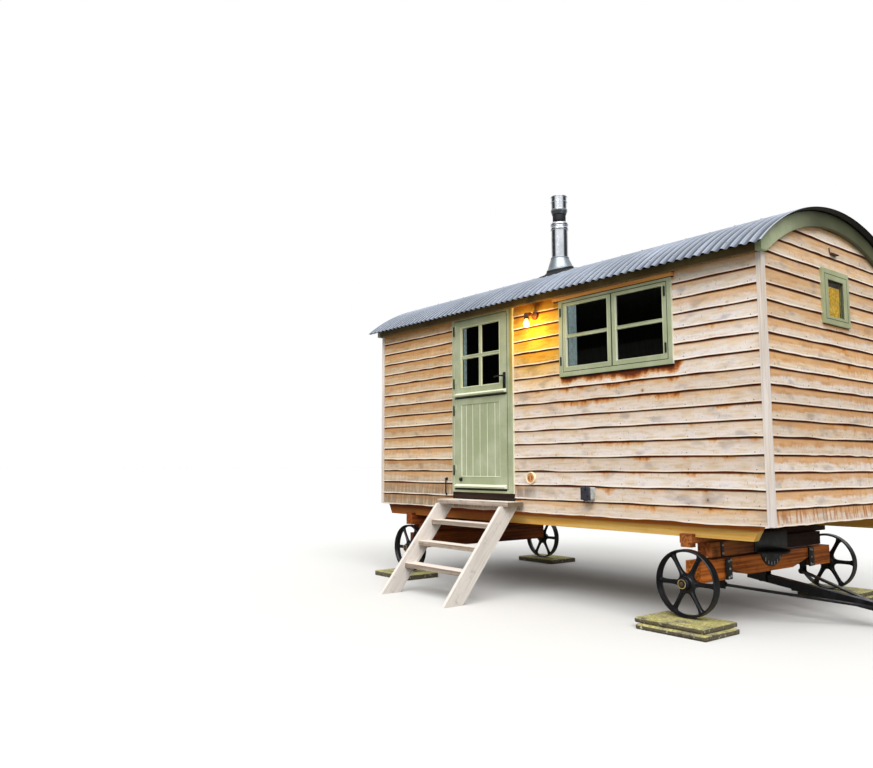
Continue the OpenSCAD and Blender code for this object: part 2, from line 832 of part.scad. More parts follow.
// Tread between the stringers, counted down from the top
module lower_tread(i) {
    z1 = tread_z - i * rise;
    y0 = -string_front - (string_top - z1) * run_per_mm + tread_in;
    block(stair_x + string_t, stair_x + stair_w - string_t, y0, y0 + tread_d, z1 - tread_t, z1);
}

module stair_tread_1() {
    y1 = -string_back + 3;
    color(weathered) place()
        block(stair_x - 2, stair_x + stair_w + 65, y1 - top_tread_d, y1, tread_z - tread_t, tread_z);
}

module stair_tread_2() {
    color(weathered) place() lower_tread(1);
}

module stair_tread_3() {
    color(weathered) place() lower_tread(2);
}

module stair_tread_4() {
    color(weathered) place() lower_tread(3);
}

// Two slabs under each front wheel and one under each rear wheel
module wheel_slabs() {
    color("darkkhaki") place() both_sides() {
        translate([front_x + pad_x, -wheel_y - pad_out, 0]) {
            block(-pad_l / 2, pad_l / 2, -pad_w / 2, pad_w / 2, pad_t, 2 * pad_t);
            block(-pad_l / 2 + pad_shift, pad_l / 2 + pad_shift, -pad_w / 2 - pad_shift,
                pad_w / 2 - pad_shift, 0, pad_t);
        }
        translate([rear_x + pad_x, -rear_wheel_y - pad_out, 0])
            block(-pad_l / 2, pad_l / 2, -pad_w / 2, pad_w / 2, 0, rear_pad_t);
    }
}

// Axle end that a wheel turns on, from the beam's end to past the hub of a wheel at y1 and z
module axle_stub(y0, y1, z) {
    hub_y = y1 + rim_w / 2 + hub_out;
    translate([0, -y0, z]) rotate([90, 0, 0]) cylinder(r = stub_r, h = hub_y + 8 - y0, $fn = 48);
    translate([0, -hub_y - seat, z]) rotate([90, 0, 0]) cylinder(r = stub_r + 12, h = 10, $fn = 48);
}

// Rear beam, with the packing that carries the cross bearer
module rear_axle() {
    w = beam_w + 40;
    color(stained) place() translate([rear_x, 0, 0]) {
        block(-w / 2, w / 2, -rear_beam_y, rear_beam_y, rear_beam_z1 - beam_h, rear_beam_z1);
        block(-cross_w / 2, cross_w / 2, -rear_beam_y + 30, rear_beam_y - 30, rear_beam_z1,
            rail_z - rear_cross_h);
        cross_bearer(rear_cross_h);
        both_sides() axle_stub(rear_beam_y, rear_wheel_y, rear_wheel_z);
    }
}

// Bolster under the front cross bearer, with the upper turntable plate and the kingpin
module fore_bolster() {
    y = half_w - bolster_in;
    color(stained) place() translate([front_x, 0, 0]) {
        block(-beam_w / 2 + 3, beam_w / 2 - 3, -y, y, bolster_z0, cross_z);
        translate([-cross_back, 0, 0]) cross_bearer(cross_h);
        translate([0, 0, bolster_z0 - table_t]) cylinder(r = table_r, h = table_t, $fn = 96);
        translate([0, 0, beam_z0 + 30]) cylinder(r = king_r, h = bolster_z0 - beam_z0 - 30, $fn = 48);
    }
}

// Front beam without its holes: a block at each end and a belly in the middle
module beam_body() {
    y1 = beam_y;
    y2 = beam_y - block_l;
    translate([beam_w / 2, 0, 0]) rotate([90, 0, -90]) linear_extrude(beam_w)
        polygon([[-y1, beam_z1], [-y1, beam_z0], [-y2, beam_z0], [-y2, beam_z0 + belly_rise],
            [-y2 + belly_run, belly_z], [y2 - belly_run, belly_z], [y2, beam_z0 + belly_rise],
            [y2, beam_z0], [y1, beam_z0], [y1, beam_z1]]);
}

module fore_axle_beam() {
    color(stained) place() translate([front_x, 0, 0]) {
        difference() {
            beam_body();
            translate([0, 0, beam_z0 - 1]) cylinder(r = king_r + run, h = beam_h + 2, $fn = 48);
        }
        both_sides() axle_stub(beam_y, wheel_y, wheel_z);
    }
}

// Ear with a pin stub that carries a stay
module stay_ear() {
    y = stay_y + stay_side;
    rotate([90, 0, -90]) linear_extrude(ear_w, center = true)
        polygon([[y, tow_z - ear_low], [y + ear_t, tow_z - ear_low], [y + ear_t, belly(y + ear_t)],
            [y, belly(y)]]);
    translate([0, -y, tow_z]) rotate([-90, 0, 0]) cylinder(r = tow_pin, h = stay_side + 12, $fn = 36);
}

// Lower turntable plate, half round plate, brackets at the belly's ends and the ears of the drawbar
module fore_axle_irons() {
    y2 = beam_y - block_l;
    under_z = beam_z0 + belly_rise - 2.5 * strap_t;
    ear_y = tow_h + ear_gap;
    face = beam_w / 2;
    color(iron) place() translate([front_x, 0, 0]) {
        difference() {
            translate([0, 0, table_z]) cylinder(r = table_r, h = table_t, $fn = 96);
            translate([0, 0, table_z - 1]) cylinder(r = king_r + run, h = table_t + 2, $fn = 48);
        }
        intersection() {
            translate([face, 0, beam_z1 + quad_up]) rotate([0, 90, 0]) cylinder(r = quad_r, h = ear_t, $fn = 96);
            block(face - 1, face + ear_t + 1, -quad_r, quad_r, 0, beam_z1);
        }
        both_sides() {
            difference() {
                block(-face - strap_t, face + strap_t, -y2, -y2 + strap_w, beam_z0, beam_z1);
                block(-face, face, -y2 - 1, -y2 + strap_w + 1, beam_z0 - 1, under_z);
                beam_body();
            }
            stay_ear();
        }
        both_sides() block(-ear_w / 2, ear_w / 2, -ear_y - ear_t, -ear_y, tow_z - ear_low, belly_z);
        translate([0, -ear_y, tow_z]) rotate([-90, 0, 0]) cylinder(r = tow_pin, h = 2 * ear_y, $fn = 36);
    }
}

// Spoked wheel, drawn round its own centre with its axis along Z
module wheel_body() {
    difference() {
        union() {
            difference() {
                cylinder(r = wheel_r, h = rim_w, center = true, $fn = 120);
                cylinder(r = wheel_r - rim_t, h = rim_w + 2, center = true, $fn = 120);
            }
            cylinder(r = hub_r, h = rim_w + 2 * hub_out, center = true, $fn = 72);
            cylinder(r = boss_r, h = spoke_t + 8, center = true, $fn = 72);
            for (i = [0 : spoke_n - 1])
                rotate([0, 0, i * 360 / spoke_n])
                    block(boss_r - 15, wheel_r - rim_t + 6, -spoke_w / 2, spoke_w / 2,
                        -spoke_t / 2, spoke_t / 2);
        }
        cylinder(r = stub_r + run, h = rim_w + 2 * hub_out + 2, center = true, $fn = 48);
    }
}

module wheel(x, y, z) {
    color(iron) place() translate([x, y, z]) rotate([90, 0, 0]) wheel_body();
}

module wheel_front_near() {
    wheel(front_x, -wheel_y, wheel_z);
}

module wheel_front_far() {
    wheel(front_x, wheel_y, wheel_z);
}

module wheel_rear_near() {
    wheel(rear_x, -rear_wheel_y, rear_wheel_z);
}

module wheel_rear_far() {
    wheel(rear_x, rear_wheel_y, rear_wheel_z);
}

// Square bar with a towing eye, and two stays back to the axle
module drawbar() {
    reach = sqrt(pow(stay_l, 2) + pow(stay_y, 2));
    turn = atan(stay_y / stay_l);
    color(iron) place() translate([front_x, 0, tow_z]) rotate([0, tow_slope, 0]) {
        difference() {
            union() {
                block(-tow_back, tow_l, -tow_h, tow_h, -tow_h, tow_h);
                block(tow_l - 40, eye_l, -eye_r, eye_r, -eye_t / 2, eye_t / 2);
                translate([eye_l, 0, -eye_t / 2]) cylinder(r = eye_r, h = eye_t, $fn = 64);
                both_sides() {
                    translate([stay_l, -tow_h / 2, -stay_t / 2]) rotate([0, 0, 180 + turn])
                        translate([0, -20, 0]) cube([reach - 25, 40, stay_t]);
                    translate([0, -stay_y - 10, 0]) rotate([-90, 0, 0]) cylinder(r = 25, h = 20, $fn = 48);
                }
            }
            translate([0, -tow_h - 1, 0]) rotate([-90, 0, 0])
                cylinder(r = tow_pin + run, h = tow_s + 2, $fn = 36);
            both_sides() translate([0, -stay_y - 30, 0]) rotate([-90, 0, 0])
                cylinder(r = tow_pin + run, h = 60, $fn = 36);
            translate([eye_l, 0, -eye_t]) cylinder(r = eye_hole, h = 2 * eye_t, $fn = 64);
        }
    }
}

floor_deck();
floor_joists();
chassis_rails();
front_wall_left();
front_wall_under_door();
front_wall_over_door();
front_wall_right();
back_wall();
right_gable_wall();
left_gable_wall();
corner_posts();
roof_deck();
roof_sheet();
bargeboards();
eaves_boards();
door_frame();
window_frame();
window_casements();
window_glass();
window_cap();
gable_window_frames();
wall_lamp();
vent_ring();
socket_box();
flue_flashing();
flue_tube();
stair_stringers();
stair_tread_1();
stair_tread_2();
stair_tread_3();
stair_tread_4();
wheel_slabs();
rear_axle();
fore_bolster();
fore_axle_beam();
fore_axle_irons();
wheel_front_near();
wheel_front_far();
wheel_rear_near();
wheel_rear_far();
drawbar();
lower_leaf();
upper_leaf();
upper_leaf_glass();
door_handle();
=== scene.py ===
# %% [markdown]
# # A shepherd's hut, dressed in Blender
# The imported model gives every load-bearing part of the hut in its real size. This lesson dresses it:
# lapped oak boards, a curved corrugated roof, cast wheels, a lit lamp and weathered steps. Each piece is
# a surface worked out with numpy, so its shape is a formula that can be read and changed.

# %% Load the frame
import bpy
import numpy as np
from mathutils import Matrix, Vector


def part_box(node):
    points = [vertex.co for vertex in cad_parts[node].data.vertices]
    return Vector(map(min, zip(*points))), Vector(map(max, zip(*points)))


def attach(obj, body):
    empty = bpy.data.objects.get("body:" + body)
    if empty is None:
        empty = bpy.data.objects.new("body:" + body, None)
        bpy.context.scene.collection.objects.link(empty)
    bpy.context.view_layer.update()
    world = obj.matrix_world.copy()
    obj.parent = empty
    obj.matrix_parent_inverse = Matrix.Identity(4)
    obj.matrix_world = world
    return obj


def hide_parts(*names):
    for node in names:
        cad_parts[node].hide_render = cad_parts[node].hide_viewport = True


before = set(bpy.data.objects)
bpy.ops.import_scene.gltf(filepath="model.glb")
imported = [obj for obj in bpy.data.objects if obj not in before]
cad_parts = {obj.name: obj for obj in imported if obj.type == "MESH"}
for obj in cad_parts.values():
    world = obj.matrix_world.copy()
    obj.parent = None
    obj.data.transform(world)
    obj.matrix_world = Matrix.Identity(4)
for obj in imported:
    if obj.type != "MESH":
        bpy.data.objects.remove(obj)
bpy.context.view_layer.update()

# %% [markdown]
# ## The hut's own middle
# The frame's origin is the middle of the whole object, drawbar and steps included. A builder sets out a
# hut from its own centre line, so every number below is a distance in metres from the middle of the roof
# sheet, which is also the middle of the hut. `hut` turns such a place into the frame's place.

# %% Measure from the middle of the hut
sheet_low, sheet_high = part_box("roof_sheet")
middle = np.array([(sheet_low.x + sheet_high.x) / 2, (sheet_low.y + sheet_high.y) / 2, 0.0])


def node_box(name):
    """Low and high corner of a CAD node, measured from the middle of the hut."""
    low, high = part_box(name)
    return np.array(low) - middle, np.array(high) - middle


def hut(x, y, z):
    """One place, from the middle of the hut to the frame."""
    return Vector((x + middle[0], y + middle[1], z + middle[2]))


WAVE_LENGTH = 0.0762
ARCH_Z, ARCH_R = 1.282, 1.915
print("middle of the hut:", np.round(middle, 4), "arch of", ARCH_R, "m about the height", ARCH_Z)

# %% [markdown]
# ## Shapes as grids
# A board, a tube or a turned ring is a grid of points: one count runs along the piece and the other round
# its section. A grid is quick, its faces follow from the counts alone, and it closes into a watertight
# solid with one cap at each end. `Shape` keeps points, faces and any values that a material needs at each
# point.


# %% Grid faces and the Shape class
def grid_faces(rows, columns, close_rows=False, close_columns=False):
    """Four-cornered faces of a grid of points: row after row, each face joins a point to its two next
    neighbours."""
    r = np.arange(rows if close_rows else rows - 1)
    c = np.arange(columns if close_columns else columns - 1)
    r, c = [a.ravel() for a in np.meshgrid(r, c, indexing="ij")]
    r1, c1 = (r + 1) % rows, (c + 1) % columns
    return np.stack([r * columns + c, r1 * columns + c, r1 * columns + c1, r * columns + c1], axis=1)


class Shape:
    """Points with their faces, and named values at the points, before they become a mesh."""

    def __init__(self, points, faces, **values):
        self.points = np.asarray(points, float).reshape(-1, 3)
        self.faces = [np.asarray(f, int) for f in faces]
        self.values = {k: np.asarray(v, float).reshape(len(self.points), 3) for k, v in values.items()}

    def moved(self, x=0.0, y=0.0, z=0.0):
        """The same shape at another place."""
        return Shape(self.points + (x, y, z), self.faces, **self.values)

    def turned(self, rows):
        """The same shape with its three axes taken from the rows of a turning matrix."""
        return Shape(self.points @ np.array(rows, float), self.faces, **self.values)

    def flipped(self):
        """The same shape with its faces looking the other way."""
        return Shape(self.points, [f[:, ::-1] for f in self.faces], **self.values)


def joined(shapes):
    """Several shapes as one, each with its own points."""
    starts = np.cumsum([0] + [len(s.points) for s in shapes[:-1]])
    faces = [f + start for s, start in zip(shapes, starts) for f in s.faces]
    values = {k: np.concatenate([s.values[k] for s in shapes]) for k in shapes[0].values}
    return Shape(np.concatenate([s.points for s in shapes]), faces, **values)


# %% [markdown]
# A piece is a mesh made of such shapes. It is told which body of the hut it moves with, which material it
# takes, and which plain CAD node it stands for, if any.


# %% Make a piece of the scene out of shapes
def piece(name, shapes, material, body, crease=35, stands_for=()):
    """Makes one mesh object of the shapes, smooth up to the crease angle in degrees, riding on a body."""
    whole = joined(shapes)
    mesh = bpy.data.meshes.new(name)
    mesh.vertices.add(len(whole.points))
    mesh.vertices.foreach_set("co", (whole.points + middle).ravel())
    counts = np.concatenate([np.full(len(f), f.shape[1]) for f in whole.faces])
    loops = np.concatenate([f.ravel() for f in whole.faces])
    mesh.loops.add(len(loops))
    mesh.loops.foreach_set("vertex_index", loops)
    mesh.polygons.add(len(counts))
    mesh.polygons.foreach_set("loop_start", np.concatenate([[0], np.cumsum(counts)[:-1]]))
    mesh.polygons.foreach_set("use_smooth", np.ones(len(counts), bool))
    for key, values in whole.values.items():
        mesh.attributes.new(key, "FLOAT_VECTOR", "POINT").data.foreach_set("vector", values.ravel())
    mesh.update(calc_edges=True)
    mesh.validate()
    mesh.set_sharp_from_angle(angle=np.radians(crease))
    mesh.materials.append(material)
    made = bpy.data.objects.new(name, mesh)
    bpy.context.scene.collection.objects.link(made)
    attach(made, body)
    if stands_for:
        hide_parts(*stands_for)
    print(f"{name}: {sum(len(f) * (f.shape[1] - 2) for f in whole.faces)} triangles on {body}")
    return made


# %% [markdown]
# Turned and carried shapes are made upright or lying along X. Three turns bring them to the walls: each
# row says where the shape's own X, Y and Z go.

# %% Turns towards the walls
TO_FRONT = [(1, 0, 0), (0, 0, -1), (0, -1, 0)]
TO_RIGHT = [(0, 1, 0), (0, 0, 1), (1, 0, 0)]
ONTO_GABLE = [(0, 1, 0), (-1, 0, 0), (0, 0, 1)]
for turn in (TO_FRONT, TO_RIGHT, ONTO_GABLE):
    print("a turn that carries Z to", turn[2])

# %% [markdown]
# ## Sections carried along, and turned shapes
# Most parts of a hut are sawn or rolled lengths: one section carried along a line. The rest is turned on
# a lathe: tubes, hubs, rings. Two functions cover both, and the ends are closed with one face each.


# %% Carry a section along stations
def carried(rings, closed=False, **values):
    """A solid from rings of points, one ring at each station; the first and last ring are closed with a
    cap. Rings run so that, seen from the last station towards the first, their points go
    anticlockwise."""
    rings = np.asarray(rings, float)
    stations, around = rings.shape[:2]
    faces = [grid_faces(stations, around, closed, True)]
    if not closed:
        faces.append(np.arange(around)[None, ::-1])
        faces.append((np.arange(around) + (stations - 1) * around)[None, :])
    shape = Shape(rings.reshape(-1, 3), faces, **values)
    return shape.flipped() if signed_volume(shape) < 0 else shape


def signed_volume(shape):
    """Six times the volume inside the faces, positive where they look outwards: the sum over all
    triangles of the corner vectors' triple product."""
    total = 0.0
    for f in shape.faces:
        for k in range(1, f.shape[1] - 1):
            a, b, c = (shape.points[f[:, i]] for i in (0, k, k + 1))
            total += np.einsum("ij,ij->i", a, np.cross(b, c)).sum()
    return total


def turned_shape(profile, turns=48):
    """A profile of (radius, height) turned round the upright axis: x = r cos t, y = r sin t, z = h.
    A profile that starts and ends on the axis makes a closed solid; a looped one makes a ring."""
    profile = np.asarray(profile, float)
    t = np.linspace(0, 2 * np.pi, turns, endpoint=False)[:, None]
    r, h = profile[None, :, 0], profile[None, :, 1]
    points = np.stack([r * np.cos(t), r * np.sin(t), h + 0 * t], axis=-1)
    on_axis = profile[:, 0] < 1e-9
    if on_axis[0] and on_axis[-1]:
        inner = points[:, 1:-1]
        n = inner.shape[1]
        low, high = turns * n, turns * n + 1
        k = np.arange(turns)
        following = (k + 1) % turns
        faces = [grid_faces(turns, n, True, False),
                 np.stack([k * n, following * n, np.full(turns, low)], axis=1)[:, ::-1],
                 np.stack([k * n + n - 1, following * n + n - 1, np.full(turns, high)], axis=1)]
        ends = [[0, 0, profile[0, 1]], [0, 0, profile[-1, 1]]]
        shape = Shape(np.concatenate([inner.reshape(-1, 3), ends]), faces)
    else:
        shape = Shape(points.reshape(-1, 3), [grid_faces(turns, len(profile), True, True)])
    return shape.flipped() if signed_volume(shape) < 0 else shape


# %% Bars and blocks from a rounded section
def rounded_section(width, height, radius=0.002, steps=3):
    """Outline of a rectangle with quarter-circle corners: each corner's centre plus r (cos t, sin t)."""
    t = np.linspace(0, np.pi / 2, steps)
    corners = []
    for turn, (sx, sy) in enumerate([(1, 1), (-1, 1), (-1, -1), (1, -1)]):
        a = t + turn * np.pi / 2
        corners.append(np.stack([sx * (width / 2 - radius) + radius * np.cos(a),
                                 sy * (height / 2 - radius) + radius * np.sin(a)], axis=1))
    return np.concatenate(corners)


def block(low, high, radius=0.002, axis=None):
    """A block between two corners with rounded long edges and a small chamfer at each end: the rounded
    section shrinks by the radius over the last radius of length."""
    low, high = np.array(low, float), np.array(high, float)
    size, centre = high - low, (low + high) / 2
    axis = int(np.argmax(size)) if axis is None else axis
    across = [(axis + 1) % 3, (axis + 2) % 3]
    radius = min(radius, size.min() * 0.45)
    section = rounded_section(size[across[0]], size[across[1]], radius)
    inner = rounded_section(size[across[0]] - 1.2 * radius, size[across[1]] - 1.2 * radius, radius * 0.6)
    half = size[axis] / 2
    along = [-half, -half + 0.6 * radius, half - 0.6 * radius, half]
    rings = np.zeros((4, len(section), 3))
    for i, (outline, place) in enumerate(zip([inner, section, section, inner], along)):
        rings[i][:, across[0]] = outline[:, 0]
        rings[i][:, across[1]] = outline[:, 1]
        rings[i][:, axis] = place
    return carried(rings + centre)


def rod(path, radius, sides=16):
    """A round bar along a path of points: at each point a circle in the plane across the path. The circle's
    first direction is square to the path and to the axis that the path follows least."""
    path = np.asarray(path, float)
    radius = np.broadcast_to(radius, len(path))
    ahead = np.gradient(path, axis=0)
    ahead /= np.linalg.norm(ahead, axis=1)[:, None]
    helper = np.eye(3)[np.argmin(np.abs(ahead).max(axis=0))]
    side = np.cross(ahead, helper)
    side /= np.linalg.norm(side, axis=1)[:, None]
    up = np.cross(side, ahead)
    t = np.linspace(0, 2 * np.pi, sides, endpoint=False)
    rings = path[:, None] + radius[:, None, None] * (
        side[:, None] * np.cos(t)[None, :, None] + up[:, None] * np.sin(t)[None, :, None])
    return carried(rings)


# %% [markdown]
# ## Materials
# Every finish is built from nodes: a few colours, a pattern at its real size, a roughness and a bump.
# `node` adds one node with its settings and links, and `ink` turns a colour as a painter's chart gives it
# into linear light.


# %% Node helper and colour helper
def node(tree, kind, links=None, **settings):
    """Adds one shader node. Settings set the node's options; links set its inputs by name or number, to a
    plain value, a `Value` or another node's output."""
    made = tree.nodes.new("ShaderNode" + kind)
    for setting, value in settings.items():
        setattr(made, setting, value)
    for key, value in (links or {}).items():
        value = value.socket if isinstance(value, Value) else value
        if isinstance(value, bpy.types.NodeSocket):
            tree.links.new(value, made.inputs[key])
        else:
            made.inputs[key].default_value = value
    return made


def ink(code):
    """Linear colour of an sRGB hex value: below 0.04045 a twelfth, above it ((c + 0.055) / 1.055) ^ 2.4."""
    c = np.array([int(code[i:i + 2], 16) for i in (1, 3, 5)]) / 255
    c = np.where(c <= 0.04045, c / 12.92, ((c + 0.055) / 1.055) ** 2.4)
    return (*c.tolist(), 1.0)


def blank(name):
    """A new material with an empty tree, and that tree."""
    material = bpy.data.materials.new(name)
    material.use_nodes = True
    material.node_tree.nodes.clear()
    return material, material.node_tree


# %% [markdown]
# A pattern is a sum, such as the height on a board plus half a cloud. `Value` lets such a sum be written
# as on paper, and `Look` is a material on the bench: one coat after another is laid over it, each by a
# share from 0, where nothing changes, to 1, where the new colour hides the old.


# %% Values and looks
class Value:
    """A number that the shader works out at each point. Each step of a sum on it adds one node."""

    def __init__(self, tree, socket):
        self.tree = tree
        self.socket = socket

    def step(self, what, other=0.0):
        """One step of a sum, called by Blender's name for it, with a number or another value."""
        return Value(self.tree, node(self.tree, "Math", {0: self, 1: other}, operation=what).outputs[0])

    def __add__(self, other):
        return self.step("ADD", other)

    def __sub__(self, other):
        return self.step("SUBTRACT", other)

    def __mul__(self, other):
        return self.step("MULTIPLY", other)

    def ramp(self, low, high, to_low=0.0, to_high=1.0):
        """The value carried smoothly from low..high to to_low..to_high."""
        made = node(self.tree, "MapRange", {0: self, 1: low, 2: high, 3: to_low, 4: to_high},
                    interpolation_type="SMOOTHSTEP")
        return Value(self.tree, made.outputs[0])


class Look:
    """A material on the bench. Patterns are read at the place on the object, or at a value that the mesh
    carries."""

    def __init__(self, name, carried_place=None):
        self.material, self.tree = blank(name)
        if carried_place:
            self.place = self.carried(carried_place)
        else:
            self.place = node(self.tree, "TexCoord").outputs["Object"]

    def carried(self, name):
        """Three numbers that the mesh carries at each point, under a name."""
        return node(self.tree, "Attribute", attribute_name=name).outputs["Vector"]

    def parts(self, vector):
        """The three numbers of a place, a direction or a colour, one by one."""
        return [Value(self.tree, part) for part in node(self.tree, "SeparateXYZ", {0: vector}).outputs]

    def spot(self, axis):
        """How far along X, Y or Z (0, 1, 2) the point lies, in metres in the frame."""
        return self.parts(self.place)[axis]

    def facing(self, axis):
        """How far the surface faces along X, Y or Z, from -1 to 1."""
        return self.parts(node(self.tree, "NewGeometry").outputs["Normal"])[axis]

    def noise(self, scale, detail=4.0, rough=0.55, place=None):
        """Noise of `scale` clouds to a metre: one number, or three where it is drawn out along an axis."""
        scale = (scale,) * 3 if isinstance(scale, float) else scale
        scaled = node(self.tree, "VectorMath", {0: place or self.place, 1: scale}, operation="MULTIPLY")
        made = node(self.tree, "TexNoise", {"Vector": scaled.outputs[0], "Scale": 1.0, "Detail": detail,
                                            "Roughness": rough})
        return Value(self.tree, made.outputs[0])

    def cells(self, scale):
        """Random cells, `scale` to a metre: how far the cell's middle is, and a number of its own from 0
        to 1."""
        made = node(self.tree, "TexVoronoi", {"Vector": self.place, "Scale": scale}).outputs
        return Value(self.tree, made["Distance"]), self.parts(made["Color"])[0]

    def mixed(self, share, first, second, blend="MIX"):
        """Colour between two colours, which are hex values or other nodes' outputs."""
        pair = [ink(c) if isinstance(c, str) else c for c in (first, second)]
        return node(self.tree, "Mix", {0: share, 6: pair[0], 7: pair[1]}, data_type="RGBA",
                    blend_type=blend).outputs[2]

    def start(self, share, first, second):
        """The first coat, between two colours."""
        self.colour = self.mixed(share, first, second)

    def lay(self, share, colour):
        """Lays a colour over the coats so far."""
        self.colour = self.mixed(share, self.colour, colour)

    def tint(self, share, colour):
        """Multiplies the coats so far by a colour: for a stain, and also for painted light and shade."""
        self.lay(share, self.mixed(1.0, self.colour, colour, "MULTIPLY"))

    def finish(self, roughness, bump=None, depth=0.001, **constants):
        """The surface itself: colour, roughness and bump on a Principled shader, and its plain numbers."""
        surface = node(self.tree, "BsdfPrincipled", {"Base Color": self.colour, "Roughness": roughness})
        for key, value in constants.items():
            surface.inputs[key.replace("_", " ")].default_value = value
        if bump is not None:
            raised = node(self.tree, "Bump", {"Height": bump, "Strength": 1.0, "Distance": depth})
            self.tree.links.new(raised.outputs[0], surface.inputs["Normal"])
        node(self.tree, "OutputMaterial", {"Surface": surface.outputs[0]})
        return self.material


# %% [markdown]
# ## Timber
# The walls are green oak that has been left to weather: washed pale where the rain runs, tan where the lap
# above keeps it dry, and stained with tannin that hangs from the laps; at the laps and round the lamp they
# also carry painted light and shade. All other timber shares one recipe of fibres and clouds, with options
# for dirt and for painted light and shade.


# %% Oak boards left to weather
def weathered_oak_boards():
    """Green oak feather-edge board, sawn and left bare. Four point attributes steer it: `grain` is the place
    on the plank; `board` holds the height on the board from 0 at its lower edge to 1 at the next lap, a tone
    and a warmth; `stain` holds how much tannin hangs from the lap, how wide the dry tan band at the top is,
    and how much the stain runs down; `wear` holds grime, painted lamplight with a golden tone, and painted
    shade above the lamp. The lower arris carries a painted highlight, and the corner under each lap and the
    underside carry painted shade."""
    look = Look("weathered_oak_boards", "grain")
    height, tone, warmth = look.parts(look.carried("board"))
    tannin_share, band_share, run_share = look.parts(look.carried("stain"))
    grime, lamp_light_and_gold_tone, painted_shade_above_lamp = look.parts(look.carried("wear"))
    streak = look.noise((4.5, 52.0, 1.0), 5.0, 0.6)
    cloud = look.noise((2.4, 8.0, 1.0), 3.0)
    patch = look.noise((7.0, 20.0, 1.0), 4.0, 0.6)
    drip = look.noise((30.0, 4.0, 1.0), 3.0)
    speck = look.noise((48.0, 60.0, 1.0), 2.0)
    tick = look.noise((85.0, 24.0, 1.0), 2.0, 0.6)
    blot = look.noise((5.5, 2.0, 1.0), 3.0, 0.6)
    smudge = look.noise((5.0, 10.0, 1.0), 2.0, 0.45)
    # Clouds push the border between washed and warm wood up and down
    warm = (height + (cloud - 0.5) * 1.4 + warmth * 0.6).ramp(0.5, 1.2)
    washed = look.mixed(streak.ramp(0.35, 0.68), "#e8dac8", "#d8c2a6")
    tan = look.mixed(streak.ramp(0.3, 0.7), "#ecca9f", "#d8ad7b")
    look.start(warm, washed, tan)
    # Rain bleaches the lower half in soft clouds of lilac white, least where the wood is warm
    bleach = patch.ramp(0.34, 0.62) * height.ramp(0.95, 0.2, 0.3, 1.0)
    look.lay(bleach * warmth.ramp(1.0, 0.1, 0.2, 0.78), "#eee8ea")
    # Wet grey bloom and mould specks
    look.lay(patch.ramp(0.55, 0.78) * height.ramp(0.95, 0.3) * 0.35, "#938b8e")
    look.lay(speck.ramp(0.66, 0.76) * height.ramp(0.75, 0.3) * 0.4, "#6b5c58")
    # Short dark ticks across the fibres, where the saw tore them
    look.lay(tick.ramp(0.63, 0.74, 0.0, 0.5), "#6e4a30")
    # Grey smudges as wide as a hand, and small dark knots in a paler ring, about five to a square metre
    look.lay(smudge.ramp(0.55, 0.75, 0.0, 0.55), "#9c9291")
    from_knot, draw = look.cells(6.0)
    is_knot = draw.step("GREATER_THAN", 0.86)
    look.lay(from_knot.ramp(0.16, 0.08) * is_knot * 0.5, "#a9825c")
    look.lay(from_knot.ramp(0.075, 0.05) * is_knot * 0.85, "#3c2418")
    # Dry tan band at the top of the board, with a darker tide mark along its edge
    tide = height + (cloud - 0.5) * 0.7 + (drip - 0.5) * 0.3 + (speck - 0.5) * 0.18
    look.lay(tide.ramp(0.42, 0.66) * band_share * 0.8, look.mixed(streak, "#e4b27c", "#cc9050"))
    mark = tide.ramp(0.44, 0.56) * tide.ramp(0.74, 0.58) * (band_share * blot.ramp(0.4, 0.6))
    look.lay(mark * 0.5, "#b97b33")
    # Tannin that hangs from under the lap in blots a hand long: ochre at the rim, umber next to the lap
    reach = blot + (height - 1.0) * 0.55 + tannin_share * 0.26
    reach = reach + (drip - 0.5) * 0.06 + (patch - 0.5) * 0.28 + (speck - 0.5) * 0.16
    look.lay(reach.ramp(0.52, 0.66, 0.0, 0.8), "#dd9d4e")
    look.lay(reach.ramp(0.62, 0.76, 0.0, 0.9), "#a0521c")
    look.lay(reach.ramp(0.72, 0.88, 0.0, 0.85), "#541f0a")
    # Tannin that has run down the whole board
    look.lay(drip.ramp(0.46, 0.6) * run_share * height.ramp(0.02, 0.3) * 0.7, "#b0682a")
    # Grime, the golden oil that sheltered boards keep, and wood browned by the heat of the lamp
    # Grime; painted lamplight, golden round the lamp, with a golden tone left of the door; and painted shade
    # above the lamp, a V for its holder's shadow and the top boards beside it
    look.lay(grime * drip.ramp(0.3, 0.6, 0.45, 1.0) * 0.9, "#82766c")
    look.tint(lamp_light_and_gold_tone, "#f8d040")
    look.lay(painted_shade_above_lamp * 0.95, "#5c270a")
    # Painted highlight on the lower arris, painted shade in the corner under each lap, and painted shade on
    # the underside
    look.lay(height.ramp(0.13, 0.06, 0.0, 0.85), "#fff3e6")
    look.lay(height.ramp(0.83, 0.92, 0.0, 0.98), "#5c260c")
    look.lay(look.facing(2).ramp(-0.35, -0.7, 0.0, 0.95), "#7a3a16")
    # Each board comes from another tree
    look.colour = look.mixed(1.0, look.colour, look.mixed(tone, "#e6ded4", "#ffffff"), "MULTIPLY")
    rough = streak.ramp(0.2, 0.8, 0.66, 0.84)
    return look.finish(rough, streak + cloud * 0.6, 0.0014, Specular_IOR_Level=0.15)


